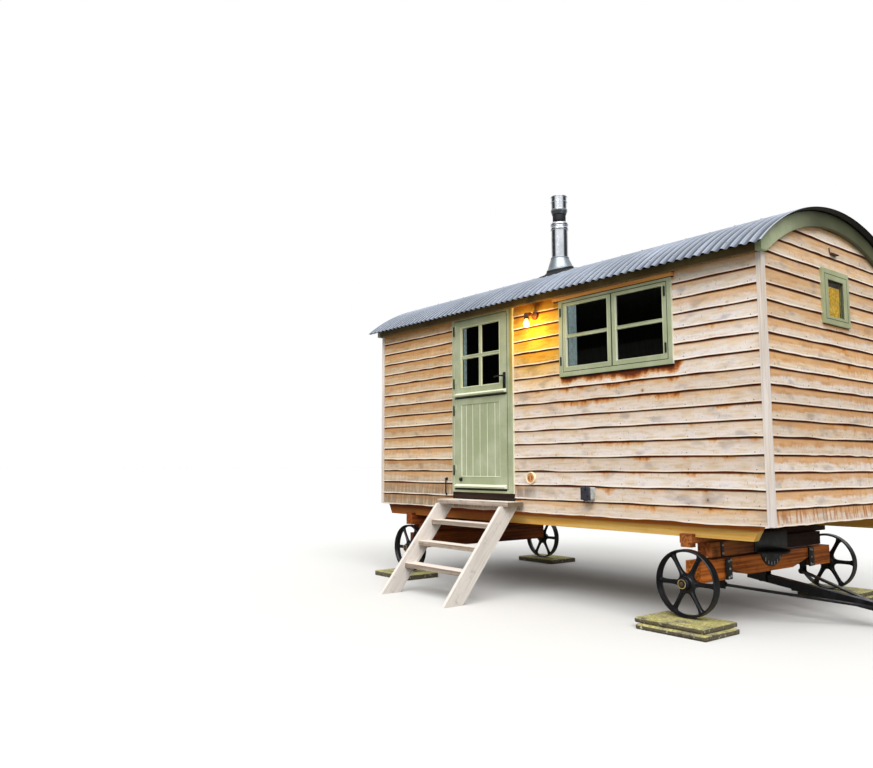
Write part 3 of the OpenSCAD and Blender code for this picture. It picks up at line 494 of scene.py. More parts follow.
# %% Other timber
def plain_timber(name, light, dark, along, fibre=45.0, rough=0.65, grey=None, dirt=0.0, tilt=0.0,
                 iron_part=None, ceiling=0.0, painted_shadow_along_x=None, sky=None, cut=None, shade=None, painted_shade_under_boards=None):
    """Sawn timber on object coordinates: fibres drawn out forty to one along one axis, in two tones, with
    slow clouds between them. `fibre` is the number of fibres in a metre, and `tilt` turns them about X, in
    degrees. `grey` is a colour in clouds and `dirt` the share of dark spots. `iron_part` is (axis, low, high)
    where a node also holds iron: outside low..high from the hut's middle, below `ceiling`. `sky` is a painted
    highlight on what faces upwards, and `cut` colours the sawn ends. `painted_shadow_along_x` is (low, high,
    colour): along X the wood turns to that colour from high back to low, as painted shadow. `shade` is (low,
    high, colour): along Y it darkens by that colour, as painted shade. `painted_shade_under_boards` is (low,
    high, colour): above those heights it darkens by that colour, as painted shade under the boards."""
    look = Look(name)
    turned = node(look.tree, "Mapping", {"Vector": look.place, "Rotation": (np.radians(tilt), 0.0, 0.0)})
    scale = [fibre] * 3
    scale[along] = fibre / 40
    fibres = look.noise(scale, 6.0, 0.6, turned.outputs[0])
    clouds = look.noise([1.5 if i == along else 7.0 for i in range(3)], 3.0, place=turned.outputs[0])
    look.start(fibres.ramp(0.36, 0.64), light, dark)
    look.lay(clouds.ramp(0.3, 0.7, 0.0, 0.3), dark)
    if grey:
        look.lay(clouds.ramp(0.45, 0.7, 0.0, 0.55), grey)
    if dirt:
        look.lay(look.noise(12.0, 5.0, 0.65).ramp(0.52, 0.75, 0.0, dirt), "#3b2a1c")
    # Painted highlight on what faces up
    if sky:
        look.lay(look.facing(2).ramp(0.35, 0.75, 0.0, 0.9), sky)
    # Painted shade along Y
    if shade:
        look.tint(look.spot(1).ramp(shade[0] + middle[1], shade[1] + middle[1]), shade[2])
    if cut:
        look.lay(look.facing(along).step("ABSOLUTE").ramp(0.6, 0.85, 0.0, 0.85), cut)
    # Painted shadow along X
    if painted_shadow_along_x:
        look.tint(look.spot(0).ramp(painted_shadow_along_x[0] + middle[0], painted_shadow_along_x[1] + middle[0], 0.92, 0.0), painted_shadow_along_x[2])
    # Painted shade under the boards
    if painted_shade_under_boards:
        look.tint(look.spot(2).ramp(painted_shade_under_boards[0], painted_shade_under_boards[1], 0.0, 0.9), painted_shade_under_boards[2])
    if iron_part:
        axis, low, high = iron_part
        across = look.spot(axis)
        beyond = across.step("LESS_THAN", low + middle[axis])
        beyond = beyond.step("MAXIMUM", across.step("GREATER_THAN", high + middle[axis]))
        if ceiling:
            beyond = beyond * look.spot(2).step("LESS_THAN", ceiling)
        look.lay(beyond, "#1b1a1a")
    worn = clouds.ramp(0.3, 0.7, rough - 0.08, rough + 0.08)
    return look.finish(worn, fibres, 0.001, Specular_IOR_Level=0.2)


# %% [markdown]
# ## Paint, metal, glass and stone
# Paint keeps faint brush lines and chalks where the sun reaches it. Metal shows how it was made: zinc in
# spangles, rolled steel with marks round the tube, iron with the pebbled skin of its mould.


# %% Paint
def sage_gloss(name="sage_green_brushed_paint", light="#b7bd9f", dark="#a3ab87", low="#949d79", side=0.0,
               shade=None, lamplit=None):
    """Sage-green microporous paint brushed on softwood: an even satin coat with faint brush lines, paler on
    every ledge that faces the sky, from weather chalking and a painted highlight, and, by `side`, on faces
    towards +X, as a painted highlight. `shade` darkens an arched board under the roof's edge and away from
    the light, by a colour, as painted shade. `lamplit` is (low, high): above those heights the paint is
    golden with painted lamplight from the lamp beside it."""
    look = Look(name)
    brush = look.noise((90.0, 90.0, 6.0), 3.0)
    chalk = look.noise(5.0)
    look.start(chalk.ramp(0.35, 0.7), dark, light)
    look.lay(brush.ramp(0.3, 0.7, 0.0, 0.25), low)
    # Painted highlight: paler on faces that look up and, by side, on faces towards +X
    painted_highlight_side = look.facing(2).step("MAXIMUM", look.facing(0) * side)
    look.lay(painted_highlight_side.ramp(0.35, 0.8, 0.0, 0.9), "#eef0dc")
    # Painted shade under the roof's edge and away from the light
    if shade:
        across = look.spot(1) - float(middle[1])
        above = look.spot(2) - ARCH_Z
        from_middle = (across.step("POWER", 2.0) + above.step("POWER", 2.0)).step("SQRT")
        inner = from_middle.ramp(1.93, 2.005) * across.ramp(-1.0, -0.2)
        look.tint(inner.step("MAXIMUM", across.ramp(-1.05, -0.25, 0.0, 0.93)), shade)
    # Painted lamplight: golden above the given heights
    if lamplit:
        look.tint(look.spot(2).ramp(lamplit[0], lamplit[1], 0.0, 0.85), "#ffcf4a")
    return look.finish(chalk.ramp(0.3, 0.7, 0.42, 0.55), brush, 0.0003)


# %% Metal
def galvanised_steel():
    """Hot-dip galvanised steel, rolled into waves: grey zinc with pale clouds, dulled by weather. The bottom
    of each wave is darker with dust and painted shade, the far flanks carry painted shade, the crests a
    painted highlight, the far end a painted sky reflection, and the underside painted shade."""
    look = Look("galvanised_corrugated_steel")
    cloud = look.noise(2.0)
    rain = look.noise((30.0, 1.2, 1.2), 3.0)
    spangle = look.cells(55.0)[1]
    look.start(cloud.ramp(0.3, 0.7), "#848c99", "#a3abb9")
    look.lay(spangle.ramp(0.0, 1.0, 0.0, 0.25), "#6a7690")
    look.lay(rain.ramp(0.5, 0.7, 0.0, 0.4), "#c3cfe2")
    # The wave itself, from its place along the hut: painted sky reflection towards the far end, dust and
    # painted shade in the bottoms, painted shade on the far flanks, painted highlights on the crests
    along = look.spot(0)
    turn = (along - float(middle[0])) * (2 * np.pi / WAVE_LENGTH)
    wave, flank = turn.step("COSINE"), turn.step("SINE")
    look.lay(along.ramp(middle[0] + 0.2, middle[0] - 2.4, 0.0, 0.22), "#d0d8e4")
    look.lay(wave.ramp(0.3, -0.8, 0.0, 0.75), "#2b3038")
    far = along.ramp(middle[0] + 0.9, middle[0] - 1.6, 0.0, 0.62)
    look.lay(flank.ramp(0.45, 0.95) * far, "#3c434f")
    look.lay(wave.ramp(0.75, 1.0, 0.0, 0.5), "#d8e0ee")
    # The underside is darkened as painted shade
    look.lay(look.facing(2).ramp(0.05, -0.2), "#1f1a16")
    return look.finish(cloud.ramp(0.3, 0.7, 0.4, 0.55), cloud, 0.001, Metallic=0.6)


def black_iron(name="black_painted_iron", shade="#0b0c0f", rough=0.36, rust=0.12):
    """Cast or forged iron under black paint: a low sheen, a pebbled skin and a breath of rust."""
    look = Look(name)
    skin = look.noise(160.0, 3.0)
    cloud = look.noise(14.0, 5.0, 0.6)
    look.start(cloud.ramp(0.4, 0.7), shade, "#191b21")
    look.lay(cloud.ramp(0.62, 0.75, 0.0, rust), "#5d3119")
    return look.finish(cloud.ramp(0.3, 0.7, rough - 0.08, rough + 0.12), skin, 0.0004, Metallic=0.2)


def stainless_steel(name="rolled_stainless_steel", rough=0.19, dull=0.0):
    """Rolled and welded stainless steel flue: mirror-bright, with fine marks round the tube from rolling. The
    throat under the cowl is near black and a band above it grey, as painted shade."""
    look = Look(name)
    lines = look.noise((4.0, 4.0, 400.0), 2.0)
    cloud = look.noise(9.0, 3.0)
    look.start(cloud.ramp(0.3, 0.7), "#dfe2e6", "#c4c9d0")
    high = look.spot(2)
    top = float(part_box("flue_tube")[1].z)
    # Painted shade: near black round the throat
    look.lay(high.ramp(top - 0.290, top - 0.272) * high.ramp(top - 0.185, top - 0.203) * 0.97, "#0a0a0e")
    # Painted shade: grey on the cone above the throat
    look.lay(high.ramp(top - 0.21, top - 0.20) * high.ramp(top - 0.15, top - 0.165) * 0.8, "#3a3c42")
    look.lay(dull, "#7d878c")
    return look.finish(lines.ramp(0.3, 0.7, rough - 0.05, rough + 0.05), lines, 0.0001, Metallic=1.0)


# %% Glass, plastic, light and stone
def clear_glass(name, waves, first, second, rough, depth, bend):
    """Glass with slow waves in it, between two tints. `bend` is its index: low, so that the eye meets
    what stands behind it, such as an unlit room or a bulb."""
    look = Look(name)
    wave = look.noise(waves, 2.0)
    look.start(wave.ramp(0.3, 0.7), first, second)
    return look.finish(rough, wave, depth, Transmission_Weight=1.0, IOR=bend)


def moulded_plastic(name, light, dark, rough=0.45):
    """Injection-moulded plastic that has stood outdoors: even colour, a fine skin and dust in soft
    clouds."""
    look = Look(name)
    skin = look.noise(300.0, 2.0)
    dust = look.noise(25.0)
    look.start(dust.ramp(0.4, 0.7), light, dark)
    return look.finish(dust.ramp(0.3, 0.7, rough - 0.05, rough + 0.1), skin, 0.0002)


def glowing(name, hot, strength, cool="#ffe9a8"):
    """A filament behind soft glass, which is a lamp, or cloth that glows as painted light: it sends out its
    own light, uneven from end to end."""
    look = Look(name)
    look.start(look.noise(60.0, 2.0).ramp(0.3, 0.7), hot, cool)
    surface = node(look.tree, "BsdfPrincipled", {"Base Color": look.colour, "Emission Color": look.colour,
                                                 "Roughness": 0.4, "Emission Strength": strength})
    node(look.tree, "OutputMaterial", {"Surface": surface.outputs[0]})
    return look.material


def mossy_stone():
    """Old concrete paving slab: coarse sandy skin, yellow-green moss on what faces the sky, and darker on
    every face that does not look up."""
    look = Look("mossy_concrete_slab")
    grit = look.noise(120.0)
    cloud = look.noise(9.0, 5.0, 0.6)
    tufts = look.noise(38.0, 4.0, 0.65)
    up = look.facing(2)
    moss = look.mixed(tufts.ramp(0.35, 0.65), "#d0c882", "#7d7a34")
    look.start(grit.ramp(0.35, 0.65), "#a39a7e", "#6d654f")
    look.lay(up.ramp(0.2, 0.9) * cloud.ramp(0.36, 0.56), moss)
    # Darker on the faces that do not look up
    look.lay(up.ramp(0.6, 0.1, 0.0, 0.7), "#3a3322")
    look.lay(tufts.ramp(0.6, 0.68, 0.0, 0.75), "#e6dfbe")
    look.lay(cloud.ramp(0.4, 0.32, 0.0, 0.7), "#2e2917")
    return look.finish(grit.ramp(0.3, 0.7, 0.85, 0.97), grit + tufts, 0.004)


# %% [markdown]
# Each finish is made once and named for the real material and how it was worked. Where one part of the hut
# looks different from another it has its own: the eaves' paint is darkened as painted shade, and the gable's
# paint is coloured for the light on the gable.


# %% The finishes this hut needs
oak_boards = weathered_oak_boards()
# Paint of the latch architrave, golden with painted lamplight high up
lamp_sage = sage_gloss("sage_paint_with_painted_lamplight", lamplit=(1.75, 2.35))
# Door and window paint, with a painted highlight on faces towards +X
sage = sage_gloss(side=1.0)
# A copy of the sage paint coloured for the light on the gable, as painted light, with no side highlight
gable_sage = sage_gloss("sage_green_paint_on_the_gable", "#b3b892", "#a1a67f", "#92966f")
# Paint of the eaves boards, darkened as painted shade under the roof's edge
eaves_sage_painted_shade = sage_gloss("sage_green_paint_darkened_as_shade", "#736239", "#5d4c28", "#4c3d1f")
# Paint of the casement beads, paler than the frame as a painted highlight
pale_sage = sage_gloss("sage_glazing_bead_as_painted_highlight", "#ccd2b0", "#b9c09a", "#a6ad86", side=1.0)
# Dark green standing as painted shadow round the casements and the gable window and its pane
shade_green = sage_gloss("dark_green_as_painted_shade", "#3f4b33", "#333d29", "#2b3322")
arch_sage = sage_gloss("sage_green_paint_under_the_verge", "#c0c8a4", "#a8b28c", "#949e78", shade="#656350")
zinc = galvanised_steel()
iron = black_iron()
rusty_iron = black_iron("rusted_forged_iron", "#6b3a1e", 0.7, 0.8)
old_nail = black_iron("weathered_nail_heads", "#6f5238", 0.7, 0.5)
steel = stainless_steel()
spun_steel = stainless_steel("spun_steel_cone", 0.42, 0.85)
# Black for the soot inside the flue, and for dark strips of painted shade
black_for_soot_and_shade = black_iron("black_steel_for_soot_and_painted_shade", "#101012", 0.6, 0.0)
# The float glass is tinted dark, as painted shade of the room behind it
glass = clear_glass("float_glass", 2.5, "#5d6663", "#6c7672", 0.03, 0.0004, 1.2)
jar_glass = clear_glass("blown_clear_glass", (40.0, 40.0, 20.0), "#fff6dd", "#ffffff", 0.02, 0.0005, 1.15)
bulb_glow = glowing("lit_filament_bulb", "#ffc65a", 9.0)
# The blind glows as painted lamplight from the room behind it
blind_painted_glow = glowing("woven_blind_glowing_as_painted_light", "#bfa03e", 0.55, "#8c6f24")
grey_plastic = moulded_plastic("grey_moulded_plastic", "#c3c8c6", "#9ea4a4")
smoked_plastic = moulded_plastic("smoked_plastic_lid", "#2c2c36", "#3d3d46", 0.3)
# The curtains glow as painted light, for the lit room behind the glass
glowing_curtain_cloth = glowing("curtain_glowing_as_painted_light", "#dfe6e8", 1.7, "#a9b2b6")
brass = moulded_plastic("dulled_brass_ring", "#c9b27a", "#8f7a48", 0.3)
terracotta_plastic = moulded_plastic("terracotta_plastic", "#dc9c66", "#c07c45")
cream_plastic = moulded_plastic("cream_plastic_rim", "#fff0cc", "#f2d3a2")
slot_plastic = moulded_plastic("plastic_in_shade", "#7a4420", "#52290f")
rubber = moulded_plastic("black_rubber", "#050506", "#0d0d0f", 0.75)
bright_zinc = moulded_plastic("zinc_plated_fixings", "#b9bcc0", "#8b8f94", 0.35)
# Cream paint of the door's beads and lippings, a painted highlight round the glass
bead_highlight_paint = plain_timber("glazing_bead_paint_as_painted_highlight", "#e2e5c4", "#c6cca4", 2, fibre=80.0, rough=0.5)
# Pale paint for the strips in the door's grooves: painted highlights
chalk = plain_timber("pale_paint_as_painted_highlight", "#f2f4e0", "#dde2c6", 2, fibre=60.0, rough=0.7)
silvered = plain_timber("silvered_oak_post", "#efe6de", "#cfc0b1", 2, fibre=60.0, grey="#ddd7da")
# Painted shadow of the steps, darker from the door leftwards, and painted shade along the top under the
# boards
stained = plain_timber("stained_chassis_timber", "#ffdc84", "#ffbc56", 0, dirt=0.1,
                       painted_shadow_along_x=(-0.62, -0.04, "#96603e"), painted_shade_under_boards=(0.748, 0.770, "#c98552"))
pale_oak = plain_timber("oiled_oak_cap", "#ffba6a", "#cf8840", 0)
fore_beam_wood = plain_timber("stained_axle_timber", "#f08a3a", "#a4541c", 1, dirt=0.5,
                              iron_part=(1, -1.0668, 1.0668))
rear_beam_wood = plain_timber("stained_rear_axle_timber", "#a6571f", "#6a3010", 1, dirt=0.6,
                              iron_part=(1, -1.0208, 1.0208), ceiling=0.5)
# Painted shade: darker from the near end inwards, under the hut
bolster_wood = plain_timber("stained_bolster_timber", "#c4753a", "#74401c", 1, dirt=0.6,
                            iron_part=(2, 0.5212, 9.0), shade=(-0.75, 0.1, "#4a3a30"))
joist_wood = plain_timber("stained_joists", "#7d4824", "#4d2b17", 1, dirt=0.5)
# Dark timber standing as painted shade: the threshold board and the sheet behind the blind
shade_dark_timber = plain_timber("dark_timber_as_painted_shade", "#37241b", "#1e130d", 0)
STAIR_SLOPE = -51.2
# Stringers and steps carry a painted highlight on what faces up
stringer_wood = plain_timber("bleached_stringer_timber", "#f0eae2", "#dfd7cf", 1, fibre=75.0, rough=0.75,
                             grey="#cfc6c2", dirt=0.28, tilt=STAIR_SLOPE, sky="#d6cfc8")
step_wood = plain_timber("bleached_step_timber", "#cdbfb2", "#a08e80", 0, rough=0.75, grey="#9c9088",
                         dirt=0.4, sky="#eee4da", cut="#6f6044")
# A darker copy of the step timber, for the three lower treads
darker_step = plain_timber("darker_step_timber", "#b7a898", "#857567", 0, rough=0.75, grey="#8b8078",
                         dirt=0.5, sky="#efe6dc")
floor_wood = plain_timber("oiled_floorboards", "#c69a66", "#a37743", 0)
lining = plain_timber("planed_lining_boards", "#b89b78", "#99784f", 2)
stone = mossy_stone()
print("materials:", len(bpy.data.materials))

# %% [markdown]
# A CAD node whose shape is right already, such as a post or a wall, keeps it and only takes a finish.

# %% Give each CAD node its finish
CAD_FINISH = {
    "floor_deck": floor_wood, "floor_joists": joist_wood, "chassis_rails": stained,
    "front_wall_left": lining, "front_wall_under_door": lining, "front_wall_over_door": lining,
    "front_wall_right": lining, "back_wall": lining, "right_gable_wall": lining, "left_gable_wall": lining,
    "corner_posts": silvered, "roof_deck": lining, "roof_sheet": zinc, "bargeboards": arch_sage,
    "eaves_boards": eaves_sage_painted_shade, "door_frame": sage, "window_frame": sage, "window_casements": sage,
    "window_glass": glass, "window_cap": pale_oak, "gable_window_frames": gable_sage, "wall_lamp": iron,
    "vent_ring": terracotta_plastic, "socket_box": grey_plastic, "flue_flashing": steel, "flue_tube": steel,
    "stair_stringers": stringer_wood, "stair_tread_1": step_wood, "stair_tread_2": darker_step,
    "stair_tread_3": darker_step, "stair_tread_4": darker_step, "wheel_slabs": stone,
    "rear_axle": rear_beam_wood, "fore_bolster": bolster_wood, "fore_axle_beam": fore_beam_wood,
    "fore_axle_irons": iron, "wheel_front_near": iron, "wheel_front_far": iron, "wheel_rear_near": iron,
    "wheel_rear_far": iron, "drawbar": iron, "lower_leaf": sage, "upper_leaf": sage,
    "upper_leaf_glass": glass, "door_handle": iron,
}
for name, material in CAD_FINISH.items():
    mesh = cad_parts[name].data
    mesh.materials.clear()
    mesh.materials.append(material)
print("CAD nodes with a finish:", len(CAD_FINISH), "of", len(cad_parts))

# %% [markdown]
# ## Lapped oak boards
# The hut is clad in feather-edge oak. Each board is sawn with a taper, thick at its lower edge and thin
# at the top, and laps over the one below, so every course throws a shadow line. One section carried along
# the wall gives a board; the height of its lower and upper edge may change from place to place, which is
# how the boards are notched round a window and cut to the curve of the roof.

# %% Sizes of the cladding
clad_low = node_box("corner_posts")[0][2]
front_face = node_box("back_wall")[1][1]
end_face = node_box("right_gable_wall")[1][0]
post_face = -node_box("corner_posts")[0][1]
post_end = node_box("corner_posts")[1][0]
board_butt = 0.0215
board_tip = 0.006
board_lap = 0.028
post_leg = 0.048
# Lower edges of the courses above the sill, in metres: hand-fixed boards, so they are not quite even
COURSES = clad_low + np.array([0, 127, 262, 392, 517, 648, 775, 898, 1029, 1154, 1280, 1410, 1531, 1653,
                               1778, 1903, 2022, 2142, 2262, 2380]) / 1000
chance = np.random.default_rng(20261126)
print("courses:", len(COURSES) - 1, "first", COURSES[0], "face of the wall", front_face)


# %% One board
def waves(s, reach):
    """A sawn edge that wanders: five sines of lengths from 0.2 to 1.6 m, with chance phases and sizes."""
    lengths = chance.uniform(0.2, 1.6, 5)
    phases = chance.uniform(0, 2 * np.pi, 5)
    sizes = chance.uniform(0.3, 1.0, 5) * reach / 3
    return (sizes[:, None] * np.sin(2 * np.pi * s[None] / lengths[:, None] + phases[:, None])).sum(0)


def board(start, end, low, high, cut_low, cut_high, warmth, stain_at, notches):
    """A feather-edge board along s: its section runs from the butt (thick, at the lower edge) to the tip.
    Depth falls in a straight line with height, and cut_low and cut_high give the real edges at each s.
    There is a station on both sides of each notch, so that its edge is upright."""
    inner = [s for s in notches if start < s < end]
    count = max(3, int((end - start) / 0.06))
    s = np.unique(np.concatenate([np.linspace(start, end, count)]
                                 + [[b - 1e-4, b + 1e-4] for b in inner]))
    z0 = np.maximum(low + np.maximum(waves(s, 0.006), -0.006), cut_low(s))
    z1 = np.minimum(high + board_lap + 0 * s, cut_high(s))
    z1 = np.maximum(z1, z0 + 0.0005)
    butt = board_butt - 0.0022 + waves(s, 0.002)
    fall = (butt - board_tip) / (high + board_lap - low)
    face = lambda z: butt - fall * (z - low)
    arris = 0.0015
    back = np.minimum(z0 + board_lap + 0.002, z1)
    behind = board_tip + 0.0026
    mid = (z0 + z1) / 2
    depth = np.stack([face(z0) - arris, face(z0 + arris), face(mid), face(z1), 0.0 * s + 0.0003,
                      0.0 * s + 0.0003, 0.0 * s + behind], axis=1)
    height = np.stack([z0, z0 + arris, mid, z1, z1, back, z0], axis=1)
    along = np.repeat(s[:, None], 7, axis=1)
    lap = np.minimum(high, cut_high(s))[:, None]
    share = np.clip((height - low) / np.maximum(lap - low, 0.02), 0, 1.2)
    share[:, 5:] = 1.0
    seed = chance.uniform(0, 40)
    grain = np.stack([along + seed, height + seed * 1.7, depth + seed], axis=-1)
    tone, warm = chance.uniform(0, 1), warmth + chance.uniform(-0.25, 0.25)
    values = np.stack([share, 0 * share + tone, 0 * share + warm], axis=-1)
    stains = np.stack([np.clip(a, 0, 1.8) for a in stain_at(along, low)], axis=-1)
    return along, depth, height, dict(grain=grain, board=values, stain=stains)


def clean(s, z):
    """No grime, no painted lamplight, no painted shade."""
    return 0 * s, 0 * s, 0 * s


def wall_of_boards(spans, place, warmth_at, stain_at, grime_and_lamp_light_at=clean, notches=()):
    """All boards of one wall. `spans` gives each course's runs and their cuts, and `place` puts (along,
    depth, height) onto the wall. `stain_at` gives the tannin, the tan band and the runs at a place on the
    wall."""
    shapes = []
    for low, high, start, end, cut_low, cut_high in spans:
        warmth = warmth_at(low, start)
        along, depth, height, values = board(start, end, low, high, cut_low, cut_high, warmth, stain_at,
                                             notches)
        values["wear"] = np.stack([np.clip(a, 0, 1) for a in grime_and_lamp_light_at(along, height)], axis=-1)
        shapes.append(carried(place(along, depth, height), **values))
    return shapes


def hump(value, low, high, soft):
    """1 between low and high, falling to 0 over a soft width outside them."""
    return np.clip((value - low) / soft + 1, 0, 1) * np.clip((high - value) / soft + 1, 0, 1)


def front_stain(s, z):
    """Tannin is heaviest under the window's sill and, lower down, on the right; the lap stays clean
    elsewhere."""
    under_sill = 0.75 * hump(z, 1.70, 1.85, 0.02) + 1.64 * hump(z, 1.93, 2.02, 0.02)
    under_sill = hump(s, 0.46, 1.70, 0.1) * under_sill
    low_right = 0.42 * hump(s, 1.0, 2.4, 0.5) * hump(z, 0.8, 1.25, 0.2)
    # Under the door the tannin share is raised, as painted shade under the door's sill
    under_door = 1.0 * hump(s, -1.1, -0.1, 0.05) * hump(z, 0.8, 0.97, 0.02)
    band = 0.1 + 0.3 * hump(z, 2.45, 3.0, 0.15) + 0.45 * hump(s, -2.5, -1.1, 0.05)
    return 0.16 + under_sill + low_right + under_door + 0 * s, band, 0.6 * under_door


def front_grime_and_lamp_light(s, z):
    """Grime low on the left and beside the door's foot; painted lamplight round the lamp, with a golden tone
    on the boards left of the door; painted shade in a V above the lamp and on the top boards beside it."""
    grime = 0.22 * hump(s, -3.0, -1.1, 0.05) + 0.6 * hump(s, -3.0, -1.2, 0.5) * hump(z, 0.7, 1.0, 0.15)
    grime += hump(s, -0.16, 0.02, 0.2) * hump(z, 0.935, 1.045, 0.02)
    # Painted lamplight: a golden pool round the lamp, and a golden tone on the boards left of the door
    away = np.hypot(s - 0.19, (z - 2.55) * 1.05)
    lamp_light_and_gold_tone = np.maximum(np.clip((0.72 - away) / 0.4, 0, 0.95), 0.26 * hump(s, -3.0, -1.1, 0.02))
    # Painted shade: the lamp holder's shadow in a V above it, and shade on the top boards beside the lamp
    above = z - 2.69
    painted_shade_above_lamp = np.clip((above * 0.9 + 0.02 - np.abs(s - 0.18)) / 0.05, 0, 1) * (above > 0)
    painted_shade_above_lamp = np.maximum(painted_shade_above_lamp, 0.45 * hump(s, -0.2, 0.46, 0.05) * hump(z, 2.74, 3.0, 0.08))
    return grime, lamp_light_and_gold_tone, painted_shade_above_lamp


def back_stain(s, z):
    """The back wall has no sill or door to drip on it: an even light stain, a little more at the foot."""
    return 0.18 + 0.25 * hump(z, 0.8, 1.2, 0.2) + 0 * s, 0.25 + 0 * s, 0 * s


def gable_stain(s, z):
    """A gable keeps a wide dry band under each lap; low down the tannin runs over the whole board."""
    lower = hump(z, 0.7, 2.1, 0.4)
    lowest = 1.0 if z < clad_low + 0.1 else 0.0
    return (0.1 + 0.35 * lower * hump(s, -0.2, 2.0, 0.6), 0.2 + 0.6 * lower + 0 * s,
            lowest + 0.25 * lower * hump(s, 0.3, 2.0, 0.4))


# %% [markdown]
# The front courses run between the corner posts. They stop at the door, are notched round the window and
# its cap, and pass under the threshold, so each course is one, two or three boards.


# %% Front wall: runs between the posts, the door and the window
flat = lambda value: (lambda s: np.full_like(s, value))
door_low, door_high = node_box("door_frame")
door_left, door_right = door_low[0] + 0.004, door_high[0]
sill = door_low[2]
win_low, win_high = node_box("window_frame")
cap_low, cap_high = node_box("window_cap")
eaves_under = node_box("eaves_boards")[0][2]
wall_top = eaves_under + 0.06
wall_end = post_end - post_leg - 0.001


def front_spans():
    """Each course of the front wall: left of the door, right of it, or under it; notched round the
    window."""
    spans = []
    whole = flat(wall_top)
    w0, w1, c0, c1 = win_low[0], win_high[0], cap_low[0], cap_high[0]
    under_door = lambda s: np.where((s > door_left) & (s < door_right), sill - 0.001, wall_top)
    under_window = lambda s: np.where((s > w0) & (s < w1), win_low[2], wall_top)
    under_cap_left = lambda s: np.where(s > c0, cap_low[2], wall_top)
    under_cap_right = lambda s: np.where(s < c1, cap_low[2], wall_top)
    for low, high in zip(COURSES[:-1], COURSES[1:]):
        if low > wall_top - 0.02:
            break
        start = 0.0
        if low >= sill - 0.001:
            start = door_right
            spans.append((low, high, -wall_end, door_left, flat(0), whole))
        elif high + board_lap > sill:
            spans.append((low, high, -wall_end, start, flat(0), under_door))
        else:
            spans.append((low, high, -wall_end, wall_end, flat(0), whole))
            continue
        if low >= win_low[2] and high <= win_high[2]:
            spans.append((low, high, start, w0, flat(0), whole))
            spans.append((low, high, w1, wall_end, flat(0), whole))
        elif low < win_low[2] < high + board_lap:
            spans.append((low, high, start, wall_end, flat(0), under_window))
        elif low < cap_high[2] < high + 0.2 and low > win_low[2]:
            spans.append((low, high, start, w0, flat(0), under_cap_left))
            spans.append((low, high, w1, wall_end, flat(0), under_cap_right))
        else:
            spans.append((low, high, start, wall_end, flat(0), whole))
    return spans


def front_warmth(z, s):
    """Boards under the eaves and left of the door stay warm, and those near the ground are washed."""
    return 0.1 + 0.4 * (z > 2.4) + 0.7 * (s < -2.0) - 0.35 * (z < 1.25)


def on_front(along, depth, height):
    """Places on the near wall: depth counts outwards, towards -Y."""
    return np.stack([along, -front_face - depth, height], axis=-1)


front_notches = [door_left, door_right, win_low[0], win_high[0], cap_low[0], cap_high[0]]
front_boards = wall_of_boards(front_spans(), on_front, front_warmth, front_stain, front_grime_and_lamp_light, front_notches)
piece("front_weatherboards", front_boards, oak_boards, "hut")

# %% [markdown]
# The back wall has neither door nor window, so each course runs from post to post. A gable's courses are
# cut to the arch, and notched round the small window. The left gable repeats the right one, turned about.


# %% Back wall
def on_back(along, depth, height):
    """Places on the far wall, with depth towards +Y."""
    return np.stack([-along, front_face + depth, height], axis=-1)


back_spans = [(low, high, -wall_end, wall_end, flat(0), flat(wall_top))
              for low, high in zip(COURSES[:-1], COURSES[1:]) if low < wall_top - 0.02]
back_boards = wall_of_boards(back_spans, on_back, lambda z, s: 0.3, back_stain)
piece("back_weatherboards", back_boards, oak_boards, "hut")

# %% Gables
port_low, port_high = node_box("gable_window_frames")
port_half = port_high[1]


def gable_spans():
    """Each course of a gable, stopped by the posts below the eaves and by the arch above them."""
    spans = []
    arch = lambda s: ARCH_Z + np.sqrt(np.maximum(ARCH_R ** 2 - s ** 2, 0)) - 0.001
    inside = lambda s: np.abs(s) < port_half
    for low, high in zip(COURSES[:-1], COURSES[1:]):
        if low > ARCH_Z + ARCH_R - 0.02:
            break
        reach = post_face - post_leg - 0.001
        if low >= eaves_under:
            reach = min(front_face - 0.001, np.sqrt(ARCH_R ** 2 - (low + 0.004 - ARCH_Z) ** 2))
        if low >= port_low[2] and high <= port_high[2]:
            spans.append((low, high, -reach, -port_half, flat(0), arch))
            spans.append((low, high, port_half, reach, flat(0), arch))
        elif low < port_low[2] < high + board_lap:
            spans.append((low, high, -reach, reach, flat(0),
                          lambda s: np.where(inside(s), port_low[2], arch(s))))
        elif low < port_high[2] < high + board_lap:
            spans.append((low, high, -reach, reach, lambda s: np.where(inside(s), port_high[2], 0), arch))
        else:
            spans.append((low, high, -reach, reach, flat(0), arch))
    return spans


def on_right_gable(along, depth, height):
    """Places on the right gable, with depth towards +X."""
    return np.stack([end_face + depth, along, height], axis=-1)


def on_left_gable(along, depth, height):
    """Places on the left gable, with depth towards -X."""
    return np.stack([-end_face - depth, -along, height], axis=-1)


def gable_warmth(z, s):
    """The upper boards of a gable are drier, and so warmer in colour."""
    return 0.45 + 0.35 * (z > 1.9)


for name, place in (("right_gable_weatherboards", on_right_gable),
                    ("left_gable_weatherboards", on_left_gable)):
    gable_boards = wall_of_boards(gable_spans(), place, gable_warmth, gable_stain,
                                  notches=[-port_half, port_half])
    piece(name, gable_boards, oak_boards, "hut")

# %% [markdown]
# ## The curved roof
# Curved corrugated sheets run from eave to eave, their waves across the hut. A wave of 76 mm is the usual
# sheet. The surface is a height over an arc: the radius swings with the distance along the hut.

